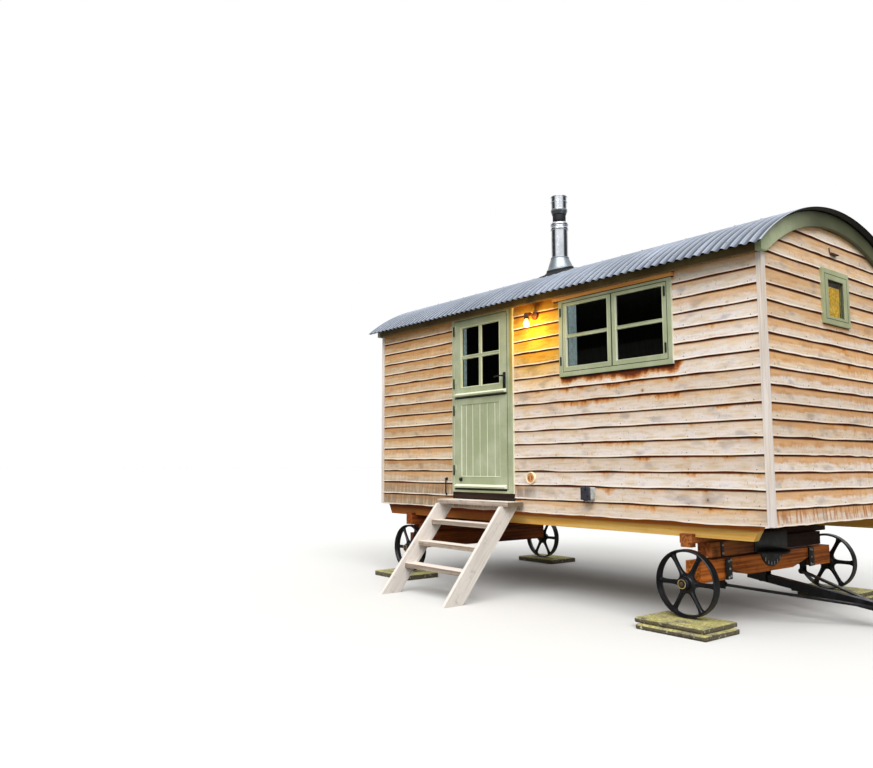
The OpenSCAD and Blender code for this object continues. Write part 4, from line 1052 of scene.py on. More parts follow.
# %% Corrugated sheet
wave_height = 0.0093
sheet_reach = sheet_high.x - middle[0]
sheet_side = sheet_high.y - middle[1]
sheet_radius = 2.0262
crest_radius = sheet_radius + wave_height
waves_long = int(2 * sheet_reach / WAVE_LENGTH)
x_line = np.linspace(-sheet_reach, sheet_reach, waves_long * 8 + 1)
swing = np.arcsin(sheet_side / sheet_radius)
a_line = np.linspace(-swing, swing, 49)
radius = sheet_radius + wave_height * np.cos(2 * np.pi * x_line / WAVE_LENGTH)


def roof_skin(offset):
    """Points of the sheet: y = r sin a and z = centre + r cos a, where r swings with x."""
    r = (radius + offset)[:, None]
    x = x_line[:, None] + 0 * a_line
    return np.stack([x, r * np.sin(a_line), ARCH_Z + r * np.cos(a_line)], axis=-1)


skins = np.concatenate([roof_skin(0.0006), roof_skin(-0.0006)[:, ::-1]], axis=1)
piece("corrugated_roof", [carried(skins)], zinc, "hut", crease=50,
      stands_for=["roof_sheet"])

# %% [markdown]
# At the eaves one would look through the open ends of the waves, so a dark strip closes them from below, as
# the foam filler on a real roof does; its black is also painted shade in the ends of the waves. Screws with
# low heads hold the sheet on every third crest.

# %% Dark closure behind the open ends of the waves
closure = []
for side in (-1, 1):
    a = np.linspace(1.204, sheet_side - 0.02, 5)
    under, over = [np.stack([0 * a, side * a, ARCH_Z + np.sqrt(r ** 2 - a ** 2)], axis=-1)
                   for r in (2.0145, 2.0165)]
    loop = np.concatenate([under, over[::-1]])
    ends = np.array([[-sheet_reach + 0.03, 0, 0], [0, 0, 0], [sheet_reach - 0.03, 0, 0]])
    closure.append(carried(loop[None] + ends[:, None]))
piece("eaves_closure", closure, black_for_soot_and_shade, "hut")

# %% Roofing screws
def dome(radius, height, turns=10):
    """A low round head, standing up along Z: a quarter ellipse turned round its axis."""
    t = np.linspace(0, np.pi / 2, 4)
    profile = [(0, -0.001), (radius, -0.001)] + [(radius * np.cos(a), height * np.sin(a)) for a in t[:-1]]
    return turned_shape(profile + [(0, height)], turns)


crests = np.arange(-waves_long // 2 + 2, waves_long // 2 - 1, 3) * WAVE_LENGTH
screws = []
for swing_at in (-0.93, -0.5, 0.0, 0.5, 0.93):
    a = swing * swing_at
    out = np.array([0.0, np.sin(a), np.cos(a)])
    rows = [(1.0, 0.0, 0.0), tuple(np.cross(out, (1.0, 0.0, 0.0))), tuple(out)]
    y, z = out[1:] * (crest_radius + 0.0002) + (0, ARCH_Z)
    for x in crests:
        screws.append(dome(0.0085, 0.006).turned(rows).moved(x, y, z))
piece("roofing_screws", screws, bright_zinc, "hut")

# %% [markdown]
# ## The flue
# A twin-walled stainless flue comes through the roof in a spun cone. The tube, its joint bands and the
# cowl over its dark throat are all turned, so one profile gives the whole; each rolled edge is a small
# half circle.

# %% Flue tube, joint bands and cowl
tube_low, tube_high = node_box("flue_tube")
flue_x, flue_y = (tube_low[:2] + tube_high[:2]) / 2
flue_top = tube_high[2]
cone_top = node_box("flue_flashing")[1][2]


def bead(radius, middle_height, reach, half):
    """A rolled bead on a tube: points of a half ellipse that stands out by `reach` and is two halves
    high."""
    t = np.linspace(-np.pi / 2, np.pi / 2, 7)
    return [(radius + reach * np.cos(a), middle_height + half * np.sin(a)) for a in t]


tube_r, throat_r, cowl_r = 0.087, 0.066, 0.082
tube = [(0.056, cone_top - 0.1), (tube_r, cone_top - 0.1)]
for from_top, reach, half in ((0.349, 0.005, 0.017), (0.325, 0.0015, 0.006), (0.303, 0.005, 0.014)):
    tube += bead(tube_r, flue_top - from_top, reach, half)
tube += [(r, flue_top - from_top) for r, from_top in (
    (0.085, 0.286), (0.078, 0.279), (0.070, 0.270), (throat_r, 0.267), (throat_r, 0.2), (0.071, 0.197),
    (0.078, 0.18), (0.085, 0.158), (tube_r, 0.152))]
for from_top, reach, half in ((0.1445, 0.0045, 0.0045), (0.064, 0.004, 0.0045), (0.0065, 0.004, 0.0055)):
    tube += bead(cowl_r, flue_top - from_top, reach, half)
tube += [(0.079, flue_top - 0.001), (0.077, flue_top - 0.006), (0.056, flue_top - 0.03)]
flue_shape = turned_shape(tube, 96).moved(flue_x, flue_y)
piece("flue_and_cowl", [flue_shape], steel, "hut", stands_for=["flue_tube"])

# %% Soot inside the tube, and painted shade round the throat
sleeve = [(0.0564, 0.6), (0.0564, 0.022), (0.0575, 0.02), (0.052, 0.02), (0.052, 0.6)]
throat = [(throat_r + 0.0004, 0.262), (throat_r + 0.0012, 0.258), (throat_r + 0.0012, 0.206),
          (throat_r + 0.0004, 0.202)]
soot_and_throat_shade = []
for profile in (sleeve, throat):
    soot_skin = turned_shape([(r, flue_top - from_top) for r, from_top in profile], 64)
    soot_and_throat_shade.append(soot_skin.moved(flue_x, flue_y))
piece("flue_soot_and_throat_shade", soot_and_throat_shade, black_for_soot_and_shade, "hut")

# %% [markdown]
# Round the flue's foot a spun cone throws the rain off, and a wide black rubber apron is dressed to the
# waves; its black also stands as painted shade under the cone.
# Both are rings that are level at the tube and follow the roof's arc further out.

# %% Cone and apron on the roof
turns = 96
t = np.linspace(0, 2 * np.pi, turns, endpoint=False)


def on_roof(r, proud):
    """A ring of radius r round the flue, laid on the roof's arc and lifted off it: z = centre + sqrt(R^2
    - y^2)."""
    y = flue_y + r * np.sin(t)
    z = ARCH_Z + np.sqrt((crest_radius + proud) ** 2 - y ** 2)
    return np.stack([flue_x + r * np.cos(t), y, z], axis=-1)


def level(r, z):
    """A level ring of radius r round the flue."""
    return np.stack([flue_x + r * np.cos(t), flue_y + r * np.sin(t), z + 0 * t], axis=-1)


def half_level(r, proud):
    """A ring a little nearer to level than the roof's slope, so the cone sits straighter than the sheet."""
    on = on_roof(r, proud)
    return 0.72 * on + 0.28 * level(r, on[:, 2].mean() + 0.001)


foot = half_level(0.128, 0.042)
spread = [foot * (1 - k) + level(0.094, cone_top - 0.014) * k for k in np.linspace(0, 1, 5)]
cone_rings = [level(0.0875, cone_top - 0.07), half_level(0.1, 0.03), half_level(0.1365, 0.03),
              half_level(0.1375, 0.033), half_level(0.1365, 0.036), half_level(0.1305, 0.038)] + spread
cone_rings += [level(0.0935, cone_top - 0.010), level(0.0955, cone_top - 0.005), level(0.0935, cone_top),
               level(0.0878, cone_top)]
piece("flue_cone", [carried(np.array(cone_rings), closed=True)], spun_steel, "hut",
      stands_for=["flue_flashing"])
flange = [on_roof(r, h) for r, h in ((0.1, 0.0004), (0.212, 0.0004), (0.216, 0.0015), (0.212, 0.0035),
                                     (0.160, 0.009))]
flange += [half_level(0.1395, 0.014), half_level(0.1385, 0.029), half_level(0.1, 0.0295)]
piece("flue_rubber_apron", [carried(np.array(flange), closed=True)], rubber, "hut")

# %% [markdown]
# ## Door furniture
# The stable door hangs on black butt hinges and has a lever on its upper leaf, a small knob on the lower
# one and a cabin hook on the wall. Each part of a hinge rides with what it is screwed to: the sleeves
# stand over the plain half hinges of the frame.

# %% Hinges
hinge_line = (-1.0525, -1.170)
HINGE_FEET = (1.144, 1.772, 2.061, 2.6275)


def ring_bar(x, y, low, high, radius, turns=20):
    """An upright round bar with slightly rounded ends."""
    edge = radius * 0.15
    profile = [(0, low), (radius - edge, low), (radius, low + edge), (radius, high - edge),
               (radius - edge, high), (0, high)]
    return turned_shape(profile, turns).moved(x, y)


def half_hinge(low, high, side):
    """A knuckle and the two screws of its plate, on the frame (side -1) or on a leaf (side 1)."""
    x, y = hinge_line
    shapes = [ring_bar(x, y, low, high, 0.0078)]
    for z in (low + 0.013, high - 0.013):
        screw = dome(0.0042, 0.0012, 12).turned(TO_FRONT)
        shapes.append(screw.moved(x + side * 0.016, y + 0.0052, z))
    return shapes


frame_halves, lower_halves, upper_halves = [], [], []
for count, foot_z in enumerate(HINGE_FEET):
    frame_halves += half_hinge(foot_z - 0.0005, foot_z + 0.0524, -1)
    (lower_halves if count < 2 else upper_halves).extend(half_hinge(foot_z + 0.0529, foot_z + 0.1055, 1))
piece("frame_hinges", frame_halves, iron, "hut")
piece("lower_leaf_hinges", lower_halves, iron, "lower_door")
piece("upper_leaf_hinges", upper_halves, iron, "upper_door")

# %% [markdown]
# The lever stands on a long plate: a turned rose, an arm that droops a little towards its end, two screws
# and a keyhole below. `leaf_face` is the front of both leaves, and also of the window's casements.

# %% Lever handle on its plate
plate_low, plate_high = node_box("door_handle")
leaf_face = -1.160
plate_face = leaf_face - 0.0065
plate_x = -0.278
plate_z0, plate_z1 = plate_low[2], plate_high[2]
lever_z = 2.132
handle = [block((plate_x - 0.019, plate_face, plate_z0), (plate_x + 0.019, leaf_face + 0.001, plate_z1),
                0.003, axis=2)]
rose = turned_shape([(0, 0), (0.014, 0), (0.014, 0.004), (0.011, 0.007), (0.009, 0.012), (0.009, 0.044),
                     (0.006, 0.048), (0, 0.048)], 24)
handle.append(rose.turned(TO_FRONT).moved(plate_x, leaf_face - 0.005, lever_z))
reach_line = np.linspace(0, 1, 12)
lever = np.stack([plate_x + 0.004 - 0.103 * reach_line,
                  leaf_face - 0.050 - 0.004 * np.sin(np.pi * reach_line),
                  lever_z + 0.001 - 0.006 * reach_line ** 2], axis=-1)
handle.append(rod(lever, 0.0078 - 0.0018 * reach_line + 0.0012 * (reach_line > 0.93), 16))
for z in (plate_z0 + 0.012, plate_z1 - 0.012):
    handle.append(dome(0.0045, 0.0015, 12).turned(TO_FRONT).moved(plate_x, plate_face, z))
keyhole = turned_shape([(0, 0), (0.006, 0), (0.006, 0.0022), (0.0035, 0.0022), (0.0035, 0.0004),
                        (0, 0.0004)], 20)
handle.append(keyhole.turned(TO_FRONT).moved(plate_x, plate_face, plate_z0 + 0.052))
piece("lever_handle", handle, iron, "upper_door", stands_for=["door_handle"])

# %% [markdown]
# The lower leaf is framed and filled with upright matchboards: each has its two front edges planed off, so a
# pair makes a V, and pale strips in the grooves are painted highlights. Inside it is boarded from edge to
# edge and held by two ledges and a brace, as such doors usually are; the photo does not show that side.

# %% Boards of the lower leaf
BOARD_LEFT, BOARD_RIGHT = -0.946, -0.349
board_edges = np.array([BOARD_LEFT, -0.862, -0.762, -0.650, -0.538, -0.424, BOARD_RIGHT])


def matchboard(x0, x1, z0, z1, front, back, v=0.004):
    """An upright board whose two front edges are cut back at 45 degrees, so that a pair of them makes a
    V."""
    edge = front + np.sign(back - front) * v
    section = np.array([(x0 + 0.0002, back), (x1 - 0.0002, back), (x1 - 0.0002, edge), (x1 - v, front),
                        (x0 + v, front), (x0 + 0.0002, edge)])
    return carried(np.stack([np.column_stack([section, np.full(6, z)]) for z in (z0, z1)]))


leaf_boards = [matchboard(x0, x1, 1.1252, 1.8868, leaf_face + 0.003, leaf_face + 0.0135)
               for x0, x1 in zip(board_edges[:-1], board_edges[1:])]
piece("lower_leaf_boards", leaf_boards, sage, "lower_door", crease=20)

# %% Inside of the lower leaf
leaf_inside = leaf_face + 0.044
inner_edges = np.linspace(-1.022, -0.273, 8)
inner_boards = [matchboard(x0, x1, 1.050, 1.940, leaf_inside + 0.006, leaf_inside - 0.0006)
                for x0, x1 in zip(inner_edges[:-1], inner_edges[1:])]
piece("lower_leaf_inner_boards", inner_boards, sage, "lower_door", crease=20)
ledges = [block((-1.005, leaf_inside + 0.0055, z), (-0.290, leaf_inside + 0.022, z + 0.095), 0.003, axis=0)
          for z in (1.125, 1.770)]
corners = np.array([(-0.985, 1.2195), (-0.885, 1.2195), (-0.310, 1.7705), (-0.410, 1.7705)])
ledges.append(carried(np.stack([np.column_stack([corners[:, 0], np.full(4, y), corners[:, 1]])
                                for y in (leaf_inside + 0.0055, leaf_inside + 0.021)])))
piece("lower_leaf_ledges", ledges, sage, "lower_door", crease=20)

# %% Painted highlights in the grooves, and the knob
groove_highlights = [block((x - 0.0026, leaf_face + 0.0014, 1.128), (x + 0.0018, leaf_face + 0.0065, 1.884),
                      0.001, axis=2) for x in board_edges[2:-1]]
piece("lower_leaf_groove_highlights", groove_highlights, chalk, "lower_door")
knob = turned_shape([(0, 0), (0.016, 0), (0.016, 0.003), (0.009, 0.006), (0.007, 0.013), (0.010, 0.019),
                     (0.0155, 0.024), (0.0165, 0.030), (0.0135, 0.036), (0.006, 0.039), (0, 0.0395)], 32)
oval_out = [(0.85, 0, 0), (0, 0, -1.3), (0, -0.75, 0)]
knob = knob.turned(oval_out).moved(-0.939, leaf_face, 1.101)
piece("lower_leaf_knob", [knob], iron, "lower_door")

# %% [markdown]
# Glazing beads, the moulding round the boards and the dark strips of painted shadow round the casements and
# the gable window are all rings with mitred corners. One function makes them: it sets the same small section
# out at each of the four corners.


# %% Mitred rings: beads round the glass and the panel
def mitred(x0, x1, z0, z1, section):
    """A ring of moulding round an opening: at each corner the section is set out along the mitre, so a
    point (inset, depth) lies at the corner moved inwards by its inset in x and in z."""
    section = np.asarray(section, float)
    rings = []
    for x, z, sx, sz in ((x0, z0, 1, 1), (x1, z0, -1, 1), (x1, z1, -1, -1), (x0, z1, 1, -1)):
        rings.append(np.column_stack([x + sx * section[:, 0], section[:, 1], z + sz * section[:, 0]]))
    return carried(np.array(rings), closed=True)


def bead_section(face, back, width):
    """A glazing bead: it laps 2 mm onto the bar's face and slopes down to the glass."""
    return [(-0.002, back), (-0.002, face), (width * 0.25, face - 0.0004), (width, back - 0.001),
            (width, back)]


def opening_edge(face):
    """A thin lipping round a whole glazed opening, proud of the rails by a millimetre and a half."""
    return [(-0.005, face + 0.006), (-0.005, face - 0.0015), (0.0015, face - 0.0015), (0.004, face + 0.006)]


door_glass_low, door_glass_high = node_box("upper_leaf_glass")
gx0, gx1 = door_glass_low[0], door_glass_high[0]
gz0, gz1 = door_glass_low[2], door_glass_high[2]
glass_y = (door_glass_low[1] + door_glass_high[1]) / 2
bar_half = 0.013
mid_x, mid_z = (gx0 + gx1) / 2, (gz0 + gz1) / 2
beads = []
for x0, x1 in ((gx0, mid_x - bar_half), (mid_x + bar_half, gx1)):
    for z0, z1 in ((gz0, mid_z - bar_half), (mid_z + bar_half, gz1)):
        beads.append(mitred(x0, x1, z0, z1, bead_section(leaf_face + 0.0045, glass_y - 0.0021, 0.008)))
beads.append(mitred(gx0, gx1, gz0, gz1, opening_edge(leaf_face)))
# The cream beads are a painted highlight round the door's glass
piece("upper_leaf_beads", beads, bead_highlight_paint, "upper_door", crease=20)
ovolo = [(0.0, leaf_face + 0.0098), (0.0, leaf_face - 0.002), (0.004, leaf_face - 0.0035),
         (0.009, leaf_face - 0.001), (0.012, leaf_face + 0.004), (0.012, leaf_face + 0.0098)]
piece("lower_leaf_moulding", [mitred(BOARD_LEFT, BOARD_RIGHT, 1.125, 1.887, ovolo)], sage, "lower_door",
      crease=30)

# %% [markdown]
# At every joint that opens, a thin dark strip stands as painted shadow: round the casements, beside and
# across the door, and under the window's sill and cap.

# %% Painted shadow strips round the casements and the door
CASEMENTS = (0.4995, 1.06475)
casement_width = 0.56375
shadow_section = [(0.0, -1.155), (0.0, -1.1606), (0.0055, -1.1606), (0.0055, -1.155)]
sash_shadow_rings = [mitred(x, x + casement_width, 2.0915, 2.7325, shadow_section) for x in CASEMENTS]
piece("casement_joint_shadows", sash_shadow_rings, shade_green, "hut")
door_shadow_strips = [block((-0.2395, -1.1636, 0.998), (-0.2335, -1.158, 2.78), 0.001, axis=2),
         block((-1.045, -1.1642, 0.992), (-0.25, -1.158, 1.008), 0.001, axis=0),
         block((-1.05, -1.1636, 2.7835), (-0.245, -1.158, 2.7885), 0.001, axis=0)]
piece("door_painted_shadows", door_shadow_strips, black_for_soot_and_shade, "hut")
leaf_shadow_strip = block((-1.046, -1.1607, 1.9455), (-0.249, -1.156, 1.9605), 0.0006, axis=0)
piece("lower_leaf_painted_shadow", [leaf_shadow_strip], black_for_soot_and_shade, "lower_door")
# The threshold board is dark, as painted shade under the door's sill
threshold = block((-1.086, -1.1555, 0.897), (-0.160, -1.140, 0.9695), 0.002, axis=0)
piece("threshold_board", [threshold], shade_dark_timber, "hut")

# %% Painted shadows under the window's sill and cap, and at the casements' foot
sill_shadow = block((win_low[0] + 0.004, -1.1575, win_low[2] - 0.008),
                    (win_high[0] - 0.004, -1.140, win_low[2]), 0.001, axis=0)
cap_shadow = block((cap_low[0] + 0.004, -1.1655, cap_low[2] - 0.006),
                   (cap_high[0] - 0.004, -1.150, cap_low[2]), 0.001, axis=0)
piece("window_painted_shadows", [sill_shadow, cap_shadow], black_for_soot_and_shade, "hut")
foot_shadows = [block((x + 0.003, -1.1612, 2.0865), (x + 0.560, -1.157, 2.0945), 0.001, axis=0) for x in CASEMENTS]
piece("casement_foot_shadows", foot_shadows, black_for_soot_and_shade, "hut")

# %% [markdown]
# A cabin hook on the wall holds the lower leaf open: an eye, a bar that hangs from it and a rest for its end.
# The strip beside the door on the latch side is the architrave; the lamp lights it from above, and its paint
# also carries painted lamplight.

# %% Cabin hook and latch architrave
hook_x, eye_z = -1.196, 1.105
eye_t = np.linspace(0, 2 * np.pi, 15)
eye = np.stack([hook_x + 0 * eye_t, -1.166 + 0.007 * np.cos(eye_t), eye_z + 0.007 * np.sin(eye_t)], axis=-1)
hanging = [(hook_x, y, z) for y, z in ((-1.166, 1.098), (-1.167, 1.03), (-1.167, 0.965), (-1.163, 0.95),
                                       (-1.155, 0.947))]
hook = [block((hook_x - 0.006, -1.1625, 0.93), (hook_x + 0.006, -1.148, 0.952), 0.002),
        rod(eye, 0.0040, 10), rod(hanging, 0.0068, 10),
        dome(0.018, 0.013, 16).turned(TO_FRONT).moved(hook_x, -1.150, eye_z)]
piece("cabin_hook", hook, iron, "hut")
strip = block((-0.198, -1.1672, 0.972), (-0.1605, -1.1628, 2.8), 0.0015, axis=2)
piece("latch_architrave", [strip], lamp_sage, "hut")

# %% [markdown]
# The window's two casements hang on small butt hinges, and a bar divides each into two panes. One sheet
# of glass lies behind the bar, as in the door. The gable panes are single.

# %% Window: hinges, glazing beads and panes
window_parts = []
for x, zs in ((0.479, (2.606, 2.152)), (1.606, (2.610, 2.146))):
    for z in zs:
        window_parts.append(ring_bar(x, -1.1658, z, z + 0.083, 0.0052, 16))
        window_parts.append(block((x - 0.009, -1.1652, z + 0.004), (x + 0.009, -1.1605, z + 0.079), 0.001,
                                  axis=2))
piece("window_hinges", window_parts, iron, "hut")
pane_z0, pane_z1, sash = 2.1355, 2.7025, 0.044
pane_y = leaf_face + 0.020
bar_z = (pane_z0 + pane_z1) / 2
casement_beads, panes = [], []
for x in CASEMENTS:
    x0, x1 = x + sash, x + casement_width - sash
    for z0, z1 in ((pane_z0, bar_z - bar_half), (bar_z + bar_half, pane_z1)):
        casement_beads.append(mitred(x0, x1, z0, z1, bead_section(-1.1575, pane_y - 0.0021, 0.004)))
    casement_beads.append(mitred(x0, x1, pane_z0, pane_z1, opening_edge(leaf_face)))
    panes.append(block((x0, pane_y - 0.002, pane_z0), (x1, pane_y + 0.002, pane_z1), 0.0008, axis=0))
# The pale beads are a painted highlight round the casements' glass
piece("casement_beads", casement_beads, pale_sage, "hut", crease=20)


# %% Gable panes and their beads
def gable_sheet(low_x, high_x, radius):
    """A flat sheet as large as a gable pane, upright across the hut."""
    return block((low_x, -0.138, 2.442), (high_x, 0.138, 2.746), radius, axis=1)


pane_x = node_box("window_glass")[1][0] - 0.002
panes.append(gable_sheet(-pane_x - 0.002, -pane_x + 0.002, 0.0008))
piece("window_panes", panes, glass, "hut", stands_for=["window_glass"])
piece("gable_pane", [gable_sheet(pane_x - 0.002, pane_x + 0.002, 0.0008)], jar_glass, "hut")
# The gable pane's beads are dark green, as painted shade
port_bead = mitred(-0.140, 0.140, 2.440, 2.748, bead_section(0.0, 0.016, 0.008)).turned(ONTO_GABLE)
piece("gable_pane_beads", [port_bead.moved(port_high[0] - 0.007, 0, 0)], shade_green, "hut",
      crease=20)

# %% [markdown]
# A drawn blind hangs behind the right gable's pane, and strips of curtain stand at the left edges of the
# door's and the window's glass; blind and curtains glow as painted light. The blind and the window's strip
# are thin closed skins whose folds are a sine across them; the door's strip is flat. A dark strip of painted
# shadow then closes the gable window's frame against the boards.


# %% Blind and curtains
def folded_cloth(front_skin, back_skin):
    """A closed thin skin from two grids of points that face away from each other."""
    return carried(np.concatenate([front_skin, back_skin[:, ::-1]], axis=1))


blind_y, blind_z = np.meshgrid(np.linspace(-0.137, 0.118, 34), np.linspace(2.4435, 2.695, 16),
                               indexing="ij")
blind_x = pane_x - 0.0105 + 0.0025 * np.sin(blind_y * 95) * (1 - 0.3 * np.cos(blind_z * 21))
blind = folded_cloth(*[np.stack([blind_x + d, blind_y, blind_z], axis=-1) for d in (0.001, -0.001)])
piece("blind_with_painted_glow", [blind], blind_painted_glow, "hut")
fold_x, fold_z = np.meshgrid(np.linspace(0.503, 0.618, 30), np.linspace(2.095, 2.728, 12),
                             indexing="ij")
fold_y = -1.098 + 0.006 * np.sin(fold_x * 260) * (1.1 - 0.25 * np.cos(fold_z * 9))
curtain = folded_cloth(*[np.stack([fold_x, fold_y + d, fold_z], axis=-1) for d in (-0.001, 0.001)])
strip = block((-0.951, -1.1145, 2.07), (-0.905, -1.111, 2.703), 0.001, axis=2)
piece("door_curtain", [strip], glowing_curtain_cloth, "upper_door")
piece("window_curtain", [curtain], glowing_curtain_cloth, "hut")
# A dark sheet behind the blind, as painted shade in the room
piece("dark_sheet_behind_blind", [gable_sheet(pane_x - 0.020, pane_x - 0.016, 0.001)], shade_dark_timber, "hut")

# %% Painted shadow round the frame of the gable window
port_shadow_section = [(0.0, 0.006), (0.0, -0.0006), (0.005, -0.0006), (0.005, 0.006)]
port_shadow_ring = mitred(-0.196, 0.196, 2.416, 2.792, port_shadow_section).turned(ONTO_GABLE)
piece("gable_window_shadow", [port_shadow_ring.moved(port_high[0], 0, 0)], shade_green, "hut")

# %% [markdown]
# ## Lamp, vent, socket and gable iron
# The lamp by the door is a ship's lantern bracket: an iron plate, a swan arm, a holder and a blown jar
# round a lit bulb. The vent and the socket are moulded plastic; the iron on the gable once carried a
# shelf.

# %% Wall lamp
lamp_x, lamp_y, lamp_z = 0.146, -1.268, 2.674
wall_out = -front_face
plate = turned_shape([(0, 0), (0.0385, 0), (0.0385, 0.028), (0.036, 0.036), (0.022, 0.040), (0.012, 0.046),
                      (0, 0.046)], 40)
bracket = [plate.turned(TO_FRONT).moved(lamp_x, wall_out, lamp_z)]
k = np.linspace(0, 1, 14)
arm = np.stack([lamp_x + 0 * k, wall_out - 0.04 - (abs(lamp_y) - front_face - 0.04) * k,
                lamp_z + 0.016 * np.sin(np.pi * k)], axis=-1)
bracket.append(rod(arm, 0.0085, 14))
holder = turned_shape([(0, -0.046), (0.0245, -0.046), (0.0265, -0.040), (0.0245, -0.028), (0.0240, 0.002),
                       (0.018, 0.012), (0.008, 0.016), (0, 0.016)], 36)
bracket.append(holder.moved(lamp_x, lamp_y, lamp_z))
piece("lamp_bracket", bracket, rusty_iron, "hut", stands_for=["wall_lamp"])

# %% Jar and bulb, which throw no shadow of their own
jar_outside = [(0.0, -0.172), (0.009, -0.1715), (0.021, -0.165), (0.031, -0.150), (0.0345, -0.130),
               (0.0345, -0.085), (0.033, -0.068), (0.0225, -0.052), (0.0205, -0.046)]
jar_inside = [(0.0183, -0.046), (0.0203, -0.053), (0.0308, -0.069), (0.0323, -0.085), (0.0323, -0.130),
              (0.029, -0.149), (0.019, -0.163), (0.008, -0.1693), (0.0, -0.1698)]
bulb_outside = [(0, -0.126), (0.012, -0.1245), (0.0235, -0.115), (0.0295, -0.098), (0.0285, -0.082),
                (0.021, -0.067), (0.0135, -0.058), (0.0125, -0.047), (0, -0.047)]
jar = turned_shape(jar_outside + jar_inside, 40).moved(lamp_x, lamp_y, lamp_z)
bulb = turned_shape(bulb_outside, 36).moved(lamp_x, lamp_y, lamp_z)
lamp_jar = piece("lamp_jar", [jar], jar_glass, "hut")
lamp_bulb = piece("lamp_bulb", [bulb], bulb_glow, "hut")
lamp_jar.visible_shadow = False
lamp_bulb.visible_shadow = False

# %% [markdown]
# The vent is a round terracotta cowl with a cream rim. Two dark slots bow apart on its face, and each is
# a thin spindle that swells in the middle.

# %% Vent cowl
vent_x, vent_z = 0.064, 1.126
vent = turned_shape([(0, 0.0), (0.0458, 0.0), (0.0458, 0.025), (0.042, 0.030), (0, 0.031)], 56)
rim = turned_shape([(0.0455, 0.0), (0.057, 0.0), (0.057, 0.029), (0.055, 0.0335), (0.051, 0.0345),
                    (0.047, 0.032), (0.0455, 0.028)], 56)
piece("vent_cowl", [vent.turned(TO_FRONT).moved(vent_x, wall_out, vent_z)], terracotta_plastic, "hut",
      stands_for=["vent_ring"])
piece("vent_rim", [rim.turned(TO_FRONT).moved(vent_x, wall_out, vent_z)], cream_plastic, "hut")
slots = []
for side in (-1, 1):
    bow = np.linspace(-1, 1, 9)
    path = np.stack([vent_x + side * (0.009 + 0.012 * (1 - bow ** 2)), wall_out - 0.0305 + 0 * bow,
                     vent_z + 0.024 * bow], axis=-1)
    slots.append(rod(path, 0.0008 + 0.0045 * (1 - bow ** 2), 10))
piece("vent_slots", slots, slot_plastic, "hut")

# %% [markdown]
# The outdoor socket is a grey box with two cable glands under it, and a smoked lid on a hinge bar with a
# small catch. The parts are set out round the middle of the box and then moved to the wall.

# %% Weatherproof socket
socket_x, socket_z = 0.781, 0.999
box_parts = [block((-0.050, -0.074, -0.054), (0.054, 0.0, 0.054), 0.008, axis=1)]
for x in (-0.022, 0.022):
    gland = turned_shape([(0, -0.074), (0.009, -0.074), (0.0125, -0.069), (0.013, -0.063), (0.013, -0.050),
                          (0, -0.050)], 24)
    box_parts.append(gland.moved(x, -0.048, 0))
piece("socket_body", [b.moved(socket_x, wall_out, socket_z) for b in box_parts], grey_plastic, "hut",
      stands_for=["socket_box"])
lid_parts = [block((-0.053, -0.092, -0.056), (0.053, -0.0742, 0.056), 0.008, axis=1),
             block((-0.018, -0.0935, -0.0655), (0.018, -0.078, -0.0555), 0.003, axis=0),
             rod([(-0.044, -0.083, 0.058), (0.044, -0.083, 0.058)], 0.0045, 12)]
piece("socket_lid", [b.moved(socket_x, wall_out, socket_z) for b in lid_parts], smoked_plastic, "hut")

# %% [markdown]
# A small rusty iron sits high on the right gable: a short flat bar with a lug that stands up at its end.

# %% Iron on the gable
iron_face = end_face + 0.014
behind, proud = iron_face - 0.004, iron_face + 0.006
bracket_parts = [block((iron_face, -0.050, 2.966), (iron_face + 0.034, 0.054, 2.977), 0.002, axis=1),
                 block((behind, -0.055, 2.976), (proud, -0.042, 3.022), 0.002, axis=2),
                 block((behind, -0.030, 2.976), (proud, 0.050, 2.992), 0.002, axis=1)]
piece("gable_iron", bracket_parts, rusty_iron, "hut")

# %% [markdown]
# Each board is nailed just above its lower edge, to the studs behind it, so the nails stand in upright
# rows that are never quite true. None falls on the window or the door.

# %% Nails through the boards
nail_shapes = []
small_head = dome(0.0042, 0.0016, 8)
for low in COURSES[:-3]:
    for x in (-2.34, -1.74, -1.14, -0.11, 0.38, 1.12, 1.76, 2.33):
        if low > 1.9 and (0.42 < x < 1.72):
            continue
        if sill - 0.01 < low and -1.1 < x < -0.16:
            continue
        shift_x, shift_z = chance.uniform(-0.012, 0.012), chance.uniform(0.014, 0.024)
        head = small_head.turned(TO_FRONT)
        nail_shapes.append(head.moved(x + shift_x, wall_out - 0.0185, low + shift_z))
for low in COURSES[:-2]:
    for y in (-1.03, -0.52, 0.0, 0.52, 1.03):
        shift_y, shift_z = chance.uniform(-0.012, 0.012), chance.uniform(0.014, 0.024)
        z = low + shift_z
        inside_arch = y * y + (z - ARCH_Z) ** 2 < (ARCH_R - 0.03) ** 2
        inside_port = abs(y + shift_y) < port_half + 0.02 and port_low[2] - 0.02 < z < port_high[2] + 0.02
        if not inside_arch or inside_port:
            continue
        for side in (1, -1):
            head = small_head.turned([(0, side, 0), (0, 0, 1), (side, 0, 0)])
            nail_shapes.append(head.moved(side * (end_face + 0.0185), side * (y + shift_y), z))
piece("board_nails", nail_shapes, old_nail, "hut")

# %% [markdown]
# ## Wheels
# The hut stands on cast-iron wheels: a broad rim with a raised middle, six ribbed spokes that swell where
# they meet rim and hub, and a long hub. The rim and hub are turned; a spoke is one section whose width
# and depth are functions of its distance from the centre.


